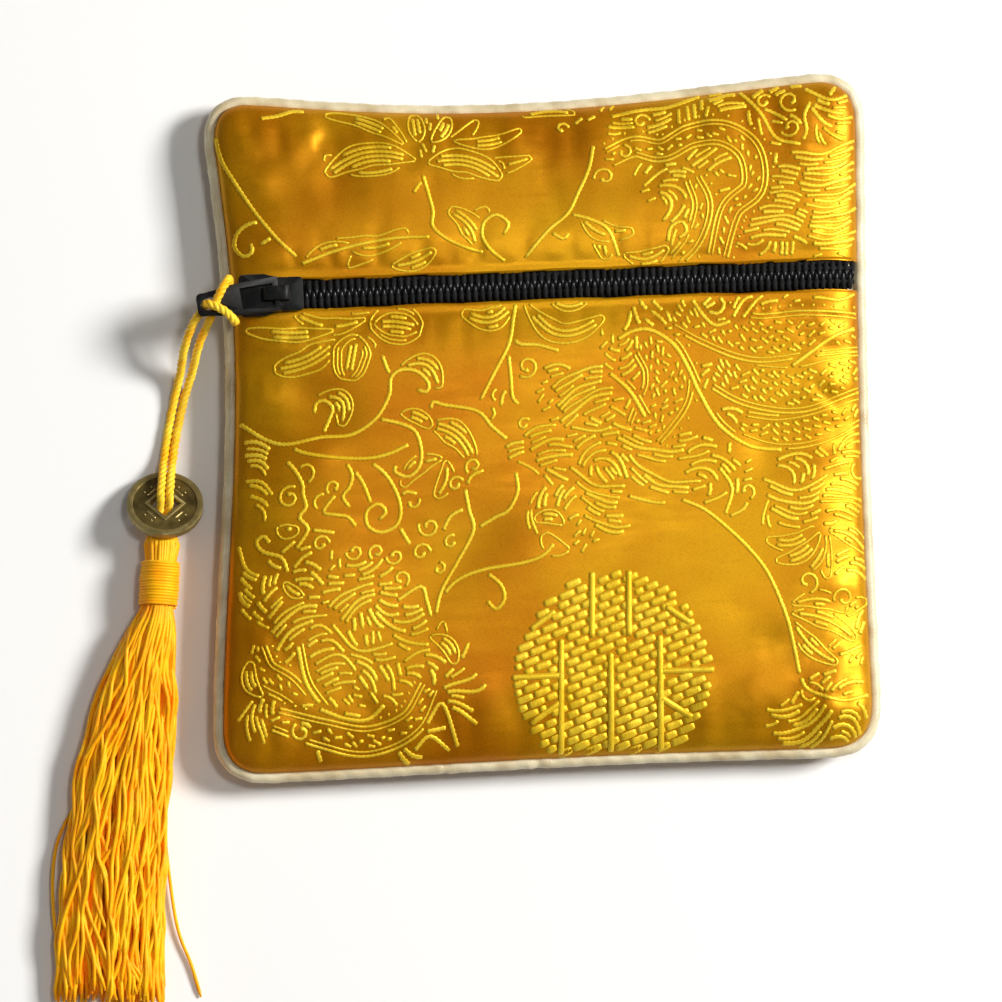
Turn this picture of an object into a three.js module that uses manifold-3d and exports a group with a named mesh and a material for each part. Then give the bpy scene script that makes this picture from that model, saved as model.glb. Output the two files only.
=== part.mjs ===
// A small square zip purse in gold silk brocade, lying on its back.
// Two front panels and a back panel meet in a cord-filled piping. A coil zip closes the front, and
// its pull carries a looped cord, which runs through a square-holed coin to a silk tassel.
// Millimetres: +X runs along the zip away from its slider, +Y to the top edge, +Z up from the table.

import * as THREE from 'three';
import { mergeVertices } from 'three/addons/utils/BufferGeometryUtils.js';
import Module from 'manifold-3d';

const wasm = await Module();
wasm.setup();

// Clearance between two pieces that touch in the real purse
const gap = 0.3;
// How far a cutting tool runs past what it cuts, and a joined piece into its neighbour
const overcut = 1;
const weld = 0.01;

// Pouch
const pouchWidth = 115.6; // over the piping, along the zip
const pouchLength = 119.5; // over the piping, across the zip
const cornerReach = 11.5; // how far in from an edge its rounded corners and soft shoulder reach
const cornerPower = 3; // 2 is a round corner, more is a squarer one
const lean = 2.8; // the top edge lies this far right of the bottom edge
const wall = 1.2; // brocade, padding and lining together
const seamHeight = 5; // the piping's centre above the table
const frontRise = 4.3; // from the seam to the shoulder of the front
const frontCrown = 2.2; // from the shoulder to the middle of the front
const frontFullness = 2.6; // 2 is a round shoulder, more is a fuller one
const backFullness = 2;
const pipingDiameter = 2.2;

// How far each edge is drawn in at its deepest place, which is a share of the way along that edge
const leftBow = { depth: 3.6, peak: 0.6 };
const rightBow = { depth: 0.9, peak: 0.5 };
const topBow = { depth: 4, peak: 0.45 };
const bottomBow = { depth: 0.6, peak: 0.6 };
const bowPower = 1.3;

// Soft dents in the front: their places and radii are shares of the width and length, and their
// depths are shares of the crown
const dents = [
  { across: 0.14, up: 0.87, radius: 0.09, depth: 0.4 },
  { across: 0.09, up: 0.52, radius: 0.07, depth: 0.35 },
  { across: 0.3, up: 0.33, radius: 0.1, depth: 0.25 },
  { across: 0.52, up: 0.88, radius: 0.1, depth: 0.3 },
  { across: 0.86, up: 0.5, radius: 0.11, depth: 0.35 },
  { across: 0.62, up: 0.12, radius: 0.12, depth: 0.25 },
];

// Zip
const zipDrop = 36.2; // from the top edge to the zip's middle
const coilBand = 4.4; // width of the two closed coils together
const coilPitch = 1.25;
const coilProud = 0.6; // how far the coils stand above the cloth
const coilGroove = 0.35; // depth of the dips between the turns
const tapeWidth = 7.5; // one tape, from the zip's middle to its outer edge
const tapeParting = 0.8; // between the tapes' inner edges
const tapeThickness = 1;
const coilEnd = 3.6; // from the pouch's right edge to the last turn

// Slider
const sliderLength = 11;
const sliderFrontWidth = 7.2; // at the end where the coils part
const sliderRearWidth = 5.8;
const sliderPlate = 1.1;
const sliderFlange = 0.7; // thickness of the side lips
const sliderFlangeDrop = 0.5;
const sliderInset = 3.2; // from the pouch's left edge to the slider's front end
const sliderBaseSetback = 5; // from the slider's front end to its lower plate and its wedge
const sliderTaper = 0.1; // half the stretch where it narrows, as a share of its length
const sliderCorner = 1 / 12; // radius of its corners, as a share of its length
const wedgeWidth = 1.6;
const wedgeLength = 1.8;
const bridgeWidth = 2.4;
const bridgeTunnel = 2.7; // inside length of the arch that holds the pull
const bridgeThickness = 0.9;
const bridgePlace = 0.9; // from the slider's middle towards its rear

// Pull
const pullLength = 14.2;
const pullThickness = 1.1;
const pullArmsWidth = 5.9;
const pullTipWidth = 3.9;
const pullTipCorner = 0.25; // radius of the tip's corners, as a share of its width
const pullWaistShare = 0.92; // width past the window, as a share of the width at the bar
const pullBar = 1;
const pullWindowLength = 5.6;
const pullWindowWidth = 3.7;
const pullTurn = 6; // degrees that the pull is turned from the zip, its tip towards the bottom edge
const pullEyeLength = 3.4;
const pullEyeWidth = 2.3;
const pullEyeMargin = 0.6; // metal left between the eye and the tip

// Cord, coin and tassel
const cordDiameter = 1.3;
const coinDiameter = 13.1;
const coinThickness = 0.9;
const coinRelief = 0.2; // height of the rims above each face
const coinRim = 1;
const coinHole = 3.8;
const coinFrame = 0.6; // width of the raised frame round the hole
const coinPlace = { x: -65.2, y: -11.2 };
const coinTilt = 30; // degrees, its lower edge lifted by the tassel's neck
const coinSpin = 42;
const tasselLength = 83.4;
const tasselWidth = 19;
const tasselHeight = 6.6;
const tasselWaist = 5.4; // thickness of the bundle inside its binding
const tasselTop = { x: -65.6, y: -14 };
const tasselTurn = 6.2; // degrees, from the side edge of the pouch
const tasselDrift = -4.4; // how far the skirt lies to the side of the line through its neck
const bindingLength = 8;
const bindingStart = 6.8; // from the tassel's top to the binding
const bindingThickness = 0.6;
const bindingTurns = 6;
const lockRoot = 1; // how far the locks reach up into the binding
const lockWidth = 0.15; // half a lock's width, as a share of the tassel's
const lockLeastSpread = 0.35; // the locks are no narrower than at this share of the spread
const lockThickness = 0.26; // half a lock's thickness, as a share of the tassel's height
const lockLowest = 0.24; // where the locks on the table lie, as a share of the tassel's height
const lockLanding = 0.15; // share of its length at which a lock reaches the table
const tableClearance = 0.1; // between the tassel and the table

// The cord's route, chosen by hand: from the tassel up through the coin, under the pull's tip and
// through its eye, once round the pull, and back the same way
const cordRoute = [
  [-66.3, -13.7, 3.7],
  [-66.1, -12.6, 3.35],
  [-65.95, -11.5, 3.75],
  [-65.9, -10.3, 4.65],
  [-65.8, -9.0, 4.9],
  [-65.4, -6.4, 3.5],
  [-64.9, -3.2, 1.4],
  [-64.1, 1.2, 0.75],
  [-62.7, 7.2, 1.0],
  [-61.6, 11.4, 2.8],
  [-60.9, 15.2, 6.8],
  [-59.4, 19.0, 9.5],
  [-57.6, 21.5, 10.2],
  [-57.1, 22.2, 11.7],
  [-56.6, 22.2, 13.1],
  [-54.4, 21.1, 13.6],
  [-52.8, 19.7, 13.3],
  [-52.2, 19.0, 12.2],
  [-52.3, 19.9, 10.9],
  [-52.5, 22.7, 10.5],
  [-52.8, 25.5, 10.9],
  [-52.9, 26.4, 12.2],
  [-53.4, 25.8, 13.3],
  [-54.5, 24.2, 13.6],
  [-55.3, 22.6, 13.1],
  [-55.4, 22.4, 11.8],
  [-55.6, 21.6, 10.2],
  [-56.6, 19.4, 9.2],
  [-58.3, 15.9, 6.9],
  [-59.5, 11.6, 2.9],
  [-60.9, 7.4, 1.0],
  [-62.5, 1.4, 0.75],
  [-63.4, -3.1, 1.4],
  [-63.9, -6.2, 3.5],
  [-64.3, -8.9, 4.9],
  [-64.45, -10.2, 4.65],
  [-64.5, -11.4, 3.75],
  [-64.65, -12.5, 3.35],
  [-64.9, -13.6, 3.7],
];

// Steps that round shapes are made with
const shoulderSteps = 4;
const middleColumns = 8;
const pipingSides = 8;
const cordSides = 8;
const cordSteps = 76;
const pipingEdgeSteps = 8;
const backRows = 8;
const lowerRows = 7;
const upperRows = 4;
const tapeSteps = 44;
const neckSides = 10;
const lockSides = 6;
const bindingSides = 14;
const plateSegments = 4;
const bridgeSegments = 3;
const eyeSegments = 8;
const coinSegments = 28;

const zipLine = pouchLength / 2 - zipDrop;
const slotHalf = coilBand / 2 + gap;
const rimInset = pipingDiameter + gap;
const radians = THREE.MathUtils.degToRad;
const { clamp, lerp, smoothstep } = THREE.MathUtils;

// Solids

// Closed skin through rings of points. Each ring closes on itself. The rings close on each other
// as a hoop, or else the first and last are filled in.
function skin(rings, hoop = false) {
  const count = rings[0].length;
  const faces = [];
  const quad = (a, b, c, d) => faces.push(a, b, c, a, c, d);
  const last = hoop ? rings.length : rings.length - 1;
  for (let r = 0; r < last; r += 1) {
    const here = r * count;
    const next = ((r + 1) % rings.length) * count;
    for (let k = 0; k < count; k += 1) {
      const beside = (k + 1) % count;
      quad(here + k, here + beside, next + beside, next + k);
    }
  }
  if (!hoop) {
    const end = (rings.length - 1) * count;
    for (let k = 0; k < count / 2 - 1; k += 1) {
      const across = count - 1 - k;
      quad(k, across, across - 1, k + 1);
      quad(end + k, end + k + 1, end + across - 1, end + across);
    }
  }
  const geometry = new THREE.BufferGeometry();
  geometry.setAttribute('position', new THREE.Float32BufferAttribute(rings.flat(2), 3));
  geometry.setIndex(faces);
  return facingOut(geometry);
}

// The same skin with its faces turned outward
function facingOut(geometry) {
  const at = geometry.attributes.position;
  const index = geometry.index.array;
  const [a, b, c] = [new THREE.Vector3(), new THREE.Vector3(), new THREE.Vector3()];
  let volume = 0;
  for (let i = 0; i < index.length; i += 3) {
    a.fromBufferAttribute(at, index[i]);
    b.fromBufferAttribute(at, index[i + 1]);
    c.fromBufferAttribute(at, index[i + 2]);
    volume += a.dot(b.cross(c));
  }
  if (volume < 0) {
    for (let i = 0; i < index.length; i += 3) {
      [index[i], index[i + 1]] = [index[i + 1], index[i]];
    }
  }
  geometry.computeVertexNormals();
  return geometry;
}

function toSolid(geometry) {
  const bare = geometry.clone();
  bare.deleteAttribute('normal');
  bare.deleteAttribute('uv');
  const merged = mergeVertices(bare, 1e-4);
  return new wasm.Manifold(new wasm.Mesh({
    numProp: 3,
    vertProperties: new Float32Array(merged.attributes.position.array),
    triVerts: new Uint32Array(merged.index.array),
  }));
}

function toGeometry(solid) {
  const mesh = solid.getMesh();
  const geometry = new THREE.BufferGeometry();
  geometry.setAttribute('position', new THREE.Float32BufferAttribute(mesh.vertProperties, 3));
  geometry.setIndex(Array.from(mesh.triVerts));
  geometry.computeVertexNormals();
  return geometry;
}

function joined(geometries) {
  const solids = geometries.map(toSolid);
  return toGeometry(solids.slice(1).reduce((whole, solid) => whole.add(solid), solids[0]));
}

function cut(geometry, tools) {
  const whole = tools.map(toSolid).reduce((rest, tool) => rest.subtract(tool), toSolid(geometry));
  return toGeometry(whole);
}

// A flat plate of the given outline, from one height to another
function plate(shape, from, to, curveSegments = plateSegments) {
  const geometry = new THREE.ExtrudeGeometry(shape, {
    depth: to - from,
    bevelEnabled: false,
    curveSegments,
  });
  return geometry.translate(0, 0, from);
}

function rectangle(left, right, bottom, top) {
  return new THREE.Shape([
    new THREE.Vector2(left, bottom),
    new THREE.Vector2(right, bottom),
    new THREE.Vector2(right, top),
    new THREE.Vector2(left, top),
  ]);
}

// The pouch's form. Its pattern is a straight rectangle with rounded corners, and settled() turns
// a place on the pattern into the place where the purse's cloth lies.

function drawnIn(along, bow) {
  const turn = Math.log(0.5) / Math.log(bow.peak);
  return bow.depth * Math.sin(Math.PI * clamp(along, 0, 1) ** turn) ** bowPower;
}

function settled(x, y, z) {
  const across = x / pouchWidth + 0.5;
  const up = y / pouchLength + 0.5;
  const overZip = clamp((y - zipLine) / zipDrop, 0, 1);
  const underZip = clamp((zipLine - y) / (pouchLength - zipDrop), 0, 1);
  const fromLeft = drawnIn(up, leftBow) * (1 - across);
  const fromRight = drawnIn(up, rightBow) * across;
  const fromTop = drawnIn(across, topBow) * overZip;
  const fromBottom = drawnIn(across, bottomBow) * underZip;
  return [x + (lean * y) / pouchLength + fromLeft - fromRight, y - fromTop + fromBottom, z];
}

// 0 over the flat middle, rising to 1 on the outline that lies the given inset in from the edge
function nearEdge(x, y, inset) {
  const reach = cornerReach - inset;
  const sideways = Math.max(0, 1 - (pouchWidth / 2 - inset - Math.abs(x)) / reach);
  const lengthways = Math.max(0, 1 - (pouchLength / 2 - inset - Math.abs(y)) / reach);
  const both = sideways ** cornerPower + lengthways ** cornerPower;
  return Math.min(1, both ** (1 / cornerPower));
}

function shoulder(near, fullness) {
  return (1 - near ** fullness) ** (1 / fullness);
}

function dentAt(x, y) {
  let depth = 0;
  for (const dent of dents) {
    const sideways = x / pouchWidth + 0.5 - dent.across;
    const lengthways = y / pouchLength + 0.5 - dent.up;
    const away = Math.hypot(sideways, lengthways) / dent.radius;
    depth += frontCrown * dent.depth * Math.exp(-away * away);
  }
  return depth;
}

// Height of the layer that lies a given depth under the front's outer face
function frontHeight(x, y, depth) {
  const across = (2 * x) / pouchWidth;
  const up = (2 * y) / pouchLength;
  const bulge = frontCrown * Math.max(0, 1 - across * across) * Math.max(0, 1 - up * up);
  const rise = frontRise + bulge - dentAt(x, y) - depth;
  const near = nearEdge(x, y, rimInset + depth);
  return seamHeight + gap / 2 + rise * shoulder(near, frontFullness);
}

// Height of the layer that lies a given depth inside the back's outer face
function backHeight(x, y, depth) {
  const near = nearEdge(x, y, rimInset + depth);
  const rise = seamHeight - gap / 2 - depth;
  return depth + rise * (1 - shoulder(near, backFullness));
}

// Shares of a corner's reach at which its outline is stepped
function shoulderShare(step) {
  return 1 - Math.cos(((step / shoulderSteps) * Math.PI) / 2) ** (2 / cornerPower);
}

// Places of the rows of points across a panel, close together where the outline turns its corners
function rowPlaces(inset, low, high, middleRows) {
  const edge = pouchLength / 2 - inset;
  const reach = cornerReach - inset;
  const rows = [];
  const from = Math.max(low, -edge);
  const to = Math.min(high, edge);
  const middleFrom = low < -edge ? -edge + reach : from;
  const middleTo = high > edge ? edge - reach : to;
  for (let k = 0; low < -edge && k < shoulderSteps; k += 1) {
    rows.push(-edge + reach * shoulderShare(k));
  }
  for (let k = 0; k <= middleRows; k += 1) {
    rows.push(lerp(middleFrom, middleTo, k / middleRows));
  }
  for (let k = shoulderSteps - 1; high > edge && k >= 0; k -= 1) {
    rows.push(edge - reach * shoulderShare(k));
  }
  return rows;
}

function columnShares() {
  const shares = [];
  const reach = cornerReach / pouchWidth;
  for (let k = 0; k < shoulderSteps; k += 1) shares.push(reach * shoulderShare(k));
  for (let k = 0; k <= middleColumns; k += 1) {
    shares.push(lerp(reach, 1 - reach, k / middleColumns));
  }
  for (let k = shoulderSteps - 1; k >= 0; k -= 1) shares.push(1 - reach * shoulderShare(k));
  return shares;
}

// Half the width of the outline at a row
function halfWidth(y, inset) {
  const reach = cornerReach - inset;
  const lengthways = Math.max(0, 1 - (pouchLength / 2 - inset - Math.abs(y)) / reach);
  const sideways = Math.max(0, 1 - lengthways ** cornerPower) ** (1 / cornerPower);
  return pouchWidth / 2 - inset - reach * (1 - sideways);
}

// One face of a panel: rows of settled points
function panelFace(depth, low, high, middleRows, height) {
  const inset = rimInset + depth;
  return rowPlaces(inset, low, high, middleRows).map((y) => {
    const half = halfWidth(y, inset);
    return columnShares().map((share) => {
      const x = lerp(-half, half, share);
      return settled(x, y, height(x, y, depth));
    });
  });
}

function panel(low, high, middleRows, height) {
  const outer = panelFace(0, low, high, middleRows, height);
  const inner = panelFace(wall, low, high, middleRows, height);
  return skin(outer.map((row, k) => [...row, ...inner[k].reverse()]));
}

// The piping runs round the outline, half its thickness in from the edge
function piping() {
  const inset = pipingDiameter / 2;
  const reach = cornerReach - inset;
  const x = pouchWidth / 2 - inset;
  const y = pouchLength / 2 - inset;
  const cornerSteps = 2 * shoulderSteps;
  const path = [];
  for (const [sideX, sideY] of [[1, 1], [-1, 1], [-1, -1], [1, -1]]) {
    const turning = sideX * sideY > 0;
    for (let k = 0; k <= cornerSteps; k += 1) {
      const angle = ((turning ? k : cornerSteps - k) / cornerSteps) * (Math.PI / 2);
      const sideways = Math.max(0, Math.cos(angle)) ** (2 / cornerPower);
      const lengthways = Math.max(0, Math.sin(angle)) ** (2 / cornerPower);
      path.push([sideX * (x - reach * (1 - sideways)), sideY * (y - reach * (1 - lengthways))]);
    }
    const [fromX, fromY] = path.at(-1);
    const [toX, toY] = turning ? [-fromX, fromY] : [fromX, -fromY];
    for (let k = 1; k < pipingEdgeSteps; k += 1) {
      const along = k / pipingEdgeSteps;
      path.push([lerp(fromX, toX, along), lerp(fromY, toY, along)]);
    }
  }
  const centre = path.map(([px, py]) => new THREE.Vector3(...settled(px, py, seamHeight)));
  const rings = centre.map((here, k) => {
    const before = centre.at(k - 1);
    const after = centre[(k + 1) % centre.length];
    const along = after.clone().sub(before).normalize();
    const outward = new THREE.Vector3(along.y, -along.x, 0);
    return Array.from({ length: pipingSides }, (_, side) => {
      const angle = ((side + 0.5) / pipingSides) * 2 * Math.PI;
      const radius = pipingDiameter / 2;
      return here.clone()
        .addScaledVector(outward, radius * Math.cos(angle))
        .add(new THREE.Vector3(0, 0, radius * Math.sin(angle)))
        .toArray();
    });
  });
  return skin(rings, true);
}

// Zip

const sliderFront = -halfWidth(zipLine, 0) + sliderInset;
const sliderRear = sliderFront + sliderLength;
const wedgeFront = sliderFront + sliderBaseSetback;
const wedgeRear = wedgeFront + wedgeLength;

// Half the parting between the tapes: narrow under the coils, wide round the slider's wedge
function tapeEdge(x) {
  const opened = clamp((sliderRear - x) / (sliderRear - wedgeRear - gap), 0, 1);
  return lerp(tapeParting / 2, wedgeWidth / 2 + gap, opened);
}

// A tape lies under the edges of the front panels and runs from seam to seam
function tape(side) {
  const depth = wall + gap;
  const half = pouchWidth / 2 - rimInset - depth - tapeThickness / 2;
  const rings = [];
  for (let k = 0; k <= tapeSteps; k += 1) {
    const share = k / tapeSteps;
    const x = half * Math.sin((share - 0.5) * Math.PI);
    const inner = zipLine + side * tapeEdge(x);
    const outer = zipLine + side * tapeWidth;
    const at = (y, under) => settled(x, y, frontHeight(x, y, depth + under));
    rings.push([at(inner, 0), at(outer, 0), at(outer, tapeThickness), at(inner, tapeThickness)]);
  }
  return skin(rings);
}

// One coil: a ribbed bar with a dip between each two turns, from the slider to the right edge
function coil(side) {
  const from = wedgeRear + gap;
  const to = pouchWidth / 2 - coilEnd;
  const steps = 2 * Math.round((to - from) / coilPitch);
  const rings = [];
  for (let k = 0; k <= steps; k += 1) {
    const x = lerp(from, to, k / steps);
    const groove = k % 2 ? coilGroove : 0;
    const inner = zipLine + side * (gap / 2);
    const outer = zipLine + side * (coilBand / 2 - groove / 2);
    const at = (y, depth) => settled(x, y, frontHeight(x, y, depth));
    rings.push([
      at(inner, groove - coilProud),
      at(outer, groove),
      at(outer, wall),
      at(inner, wall),
    ]);
  }
  return skin(rings);
}

// Slider, in its own frame: x to the rear, the coils' tops a gap below z = 0

function sliderOutline() {
  const front = sliderFrontWidth / 2;
  const rear = sliderRearWidth / 2;
  const half = sliderLength / 2;
  const bend = sliderLength * sliderTaper;
  const corner = sliderLength * sliderCorner;
  const shape = new THREE.Shape();
  shape.moveTo(-half, front - corner);
  shape.quadraticCurveTo(-half, front, -half + corner, front);
  shape.lineTo(-bend, front);
  shape.lineTo(bend, rear);
  shape.lineTo(half - corner, rear);
  shape.quadraticCurveTo(half, rear, half, rear - corner);
  shape.lineTo(half, -rear + corner);
  shape.quadraticCurveTo(half, -rear, half - corner, -rear);
  shape.lineTo(bend, -rear);
  shape.lineTo(-bend, -front);
  shape.lineTo(-half + corner, -front);
  shape.quadraticCurveTo(-half, -front, -half, -front + corner);
  shape.closePath();
  return shape;
}

const bridgeHeight = pullThickness + 2 * gap + bridgeThickness;
const underTape = -(coilProud + gap + wall + gap + tapeThickness + gap);

function slider() {
  const halfLength = sliderLength / 2;
  const channelHalf = halfLength + overcut;
  const channel = rectangle(-channelHalf, channelHalf, -slotHalf, slotHalf);
  const lips = cut(plate(sliderOutline(), -sliderFlangeDrop, 0), [
    plate(channel, -sliderFlangeDrop - overcut, overcut),
  ]);
  const lipSkirt = toSolid(lips).translate([0, 0, weld]);
  const top = toSolid(plate(sliderOutline(), 0, sliderPlate));
  const setback = -halfLength + sliderBaseSetback;
  const wedge = rectangle(setback, setback + wedgeLength, -wedgeWidth / 2, wedgeWidth / 2);
  const post = toSolid(plate(wedge, underTape - sliderPlate / 2, sliderPlate / 2));
  const baseWidth = sliderRearWidth / 2 - sliderFlange;
  const under = rectangle(setback, halfLength, -baseWidth, baseWidth);
  const base = toSolid(plate(under, underTape - sliderPlate, underTape));
  const bridge = toSolid(bridgeArch());
  return toGeometry(top.add(lipSkirt).add(post).add(base).add(bridge));
}

// The arch over the pull's bar, standing on the slider's top plate
function bridgeArch() {
  const half = bridgeTunnel / 2 + bridgeThickness;
  const inner = bridgeTunnel / 2;
  const shape = new THREE.Shape();
  shape.moveTo(-half, -sliderPlate / 2);
  shape.lineTo(-inner, -sliderPlate / 2);
  shape.lineTo(-inner, bridgeHeight - bridgeThickness);
  shape.lineTo(inner, bridgeHeight - bridgeThickness);
  shape.lineTo(inner, -sliderPlate / 2);
  shape.lineTo(half, -sliderPlate / 2);
  shape.lineTo(half, bridgeHeight - bridgeThickness);
  shape.quadraticCurveTo(half, bridgeHeight, inner, bridgeHeight);
  shape.lineTo(-inner, bridgeHeight);
  shape.quadraticCurveTo(-half, bridgeHeight, -half, bridgeHeight - bridgeThickness);
  shape.closePath();
  const arch = new THREE.ExtrudeGeometry(shape, {
    depth: bridgeWidth,
    bevelEnabled: false,
    curveSegments: bridgeSegments,
  });
  return arch.rotateX(Math.PI / 2).translate(bridgePlace, bridgeWidth / 2, sliderPlate);
}

// Pull, in its own frame: x from its bar to its tip, lying on z = 0

function pull() {
  const arms = pullArmsWidth / 2;
  const tip = pullTipWidth / 2;
  const neck = pullLength - pullEyeLength / 2;
  const waist = pullBar + pullWindowLength + pullBar;
  const corner = pullTipWidth * pullTipCorner;
  const waistArms = arms * pullWaistShare;
  const shape = new THREE.Shape();
  shape.moveTo(0, -arms);
  shape.lineTo(waist, -waistArms);
  shape.lineTo(neck, -tip);
  shape.lineTo(pullLength - corner, -tip);
  shape.quadraticCurveTo(pullLength, -tip, pullLength, -tip + corner);
  shape.lineTo(pullLength, tip - corner);
  shape.quadraticCurveTo(pullLength, tip, pullLength - corner, tip);
  shape.lineTo(neck, tip);
  shape.lineTo(waist, waistArms);
  shape.lineTo(0, arms);
  shape.closePath();
  const window = pullWindowWidth / 2;
  shape.holes.push(rectangle(pullBar, pullBar + pullWindowLength, -window, window));
  const eye = new THREE.Path();
  const eyeMiddle = pullLength - pullEyeMargin - pullEyeLength / 2;
  eye.absellipse(eyeMiddle, 0, pullEyeLength / 2, pullEyeWidth / 2, 0, 2 * Math.PI);
  shape.holes.push(eye);
  return plate(shape, 0, pullThickness, eyeSegments);
}

// Coin, lying flat round its middle

function coin() {
  const radius = coinDiameter / 2;
  const half = coinThickness / 2;
  const proud = half + coinRelief;
  const square = (size) => rectangle(-size / 2, size / 2, -size / 2, size / 2);
  const disc = (size) => new THREE.Shape().absarc(0, 0, size, 0, 2 * Math.PI);
  const ring = (outer, inner, reach) => {
    outer.holes.push(inner);
    return new THREE.ExtrudeGeometry(outer, {
      depth: 2 * reach,
      bevelEnabled: false,
      curveSegments: coinSegments,
    }).translate(0, 0, -reach);
  };
  const body = ring(disc(radius - coinRim / 2), square(coinHole), half);
  const rim = ring(disc(radius), disc(radius - coinRim), proud);
  const frame = ring(square(coinHole + 2 * coinFrame), square(coinHole), proud);
  return joined([body, rim, frame]);
}

// Tassel, in its own frame: y runs down from its top, z up from the table

// Sections of the gathered neck, as shares of the binding's start and the waist
const neckSections = [
  { down: 0.0, width: 0.35, height: 0.35, lift: 0.42 },
  { down: 0.15, width: 0.7, height: 0.55, lift: 0.42 },
  { down: 0.4, width: 1.3, height: 0.8, lift: 0.48 },
  { down: 0.7, width: 1.15, height: 0.95, lift: 0.5 },
  { down: 1.0, width: 1, height: 1, lift: 0.5 },
];

// Locks of the skirt: their places across its width and height, and their lengths as shares of it
const locks = [
  { across: -0.42, up: 0.26, length: 0.97 },
  { across: -0.22, up: 0.24, length: 1 },
  { across: 0.0, up: 0.24, length: 0.985 },
  { across: 0.22, up: 0.24, length: 0.995 },
  { across: 0.42, up: 0.26, length: 0.96 },
  { across: -0.31, up: 0.62, length: 0.985 },
  { across: -0.1, up: 0.7, length: 0.99 },
  { across: 0.11, up: 0.7, length: 0.98 },
  { across: 0.32, up: 0.6, length: 0.99 },
];

// How the skirt spreads below its binding: shares of its length, of its full spread and of its
// drift to the side
const skirtSections = [
  { down: 0.0, spread: 0.14, thick: 0.6, drift: 0 },
  { down: 0.015, spread: 0.16, thick: 0.62, drift: 0 },
  { down: 0.06, spread: 0.36, thick: 0.8, drift: 0.2 },
  { down: 0.15, spread: 0.68, thick: 1, drift: 0.5 },
  { down: 0.32, spread: 0.93, thick: 1, drift: 1 },
  { down: 0.6, spread: 0.92, thick: 0.95, drift: 1 },
  { down: 0.85, spread: 0.98, thick: 0.85, drift: 0.95 },
  { down: 1.0, spread: 1, thick: 0.7, drift: 0.75 },
];

const waistHeight = tasselWaist / 2 + bindingThickness + gap + tableClearance;
const skirtStart = bindingStart + bindingLength;

// An upright oval ring of points round a place
function oval(x, y, z, wide, high, sides) {
  return Array.from({ length: sides }, (_, k) => {
    const angle = ((k + 0.5) / sides) * 2 * Math.PI;
    return [x + wide * Math.cos(angle), y, z + high * Math.sin(angle)];
  });
}

function tasselLock(lock) {
  const length = tasselLength - skirtStart + lockRoot;
  const rings = skirtSections.map((section) => {
    const x = tasselDrift * section.drift + tasselWidth * lock.across * section.spread;
    const y = -skirtStart + lockRoot - length * section.down * lock.length;
    const wide = tasselWidth * lockWidth * Math.max(section.spread, lockLeastSpread);
    const high = tasselHeight * lockThickness * section.thick;
    const landed = tableClearance + high + tasselHeight * (lock.up - lockLowest);
    const z = lerp(waistHeight, landed, smoothstep(section.down, 0, lockLanding));
    return oval(x, y, z, wide, high, lockSides);
  });
  return skin(rings);
}

function tassel() {
  const neck = neckSections.map((section) => oval(
    0,
    -section.down * bindingStart,
    waistHeight,
    (tasselWaist / 2) * section.width,
    (tasselWaist / 2) * section.height,
    neckSides,
  ));
  const below = skirtStart + tasselWaist / 2;
  neck.push(oval(0, -below, waistHeight, tasselWaist / 2, tasselWaist / 2, neckSides));
  return joined([skin(neck), ...locks.map(tasselLock)]);
}

// The thread wound round the waist, a rib for each turn
function tasselBinding() {
  const inner = tasselWaist / 2 + gap;
  const outer = inner + bindingThickness;
  const profile = [new THREE.Vector2(inner, 0)];
  for (let turn = 0; turn < bindingTurns; turn += 1) {
    const from = (turn / bindingTurns) * bindingLength;
    const to = ((turn + 1) / bindingTurns) * bindingLength;
    profile.push(new THREE.Vector2(outer - bindingThickness / 2, from));
    profile.push(new THREE.Vector2(outer, (from + to) / 2));
  }
  profile.push(new THREE.Vector2(outer - bindingThickness / 2, bindingLength));
  profile.push(new THREE.Vector2(inner, bindingLength));
  profile.push(new THREE.Vector2(inner, 0));
  return new THREE.LatheGeometry(profile, bindingSides);
}

function cord() {
  const path = new THREE.CatmullRomCurve3(cordRoute.map((point) => new THREE.Vector3(...point)));
  const section = new THREE.Shape().absarc(0, 0, cordDiameter / 2, 0, 2 * Math.PI);
  return new THREE.ExtrudeGeometry(section, {
    steps: cordSteps,
    curveSegments: cordSides / 2,
    extrudePath: path,
    bevelEnabled: false,
  });
}

// Materials

const finish = (color, roughness, metalness = 0) =>
  new THREE.MeshStandardMaterial({ color, roughness, metalness });
const goldBrocade = finish(0xd99a12, 0.45);
const creamSatin = finish(0xe9dcc0, 0.5);
const blackNylon = finish(0x111114, 0.5);
const blackEnamel = finish(0x0c0c0e, 0.3, 0.4);
const brass = finish(0x8a7434, 0.4, 0.9);
const yellowSilk = finish(0xf4b81c, 0.55);

function piece(name, geometry, material) {
  const mesh = new THREE.Mesh(geometry, material);
  mesh.name = name;
  return mesh;
}

// Assembly

const beyond = pouchLength;
const slotLow = zipLine - slotHalf;
const slotHigh = zipLine + slotHalf;

const purse = new THREE.Group();
purse.add(
  piece('back_panel', panel(-beyond, beyond, backRows, backHeight), goldBrocade),
  piece('front_lower_panel', panel(-beyond, slotLow, lowerRows, frontHeight), goldBrocade),
  piece('front_upper_panel', panel(slotHigh, beyond, upperRows, frontHeight), goldBrocade),
  piece('piping', piping(), creamSatin),
  piece('zip_tape_lower', tape(-1), blackNylon),
  piece('zip_tape_upper', tape(1), blackNylon),
  piece('zip_coil_lower', coil(-1), blackNylon),
  piece('zip_coil_upper', coil(1), blackNylon),
);

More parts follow.
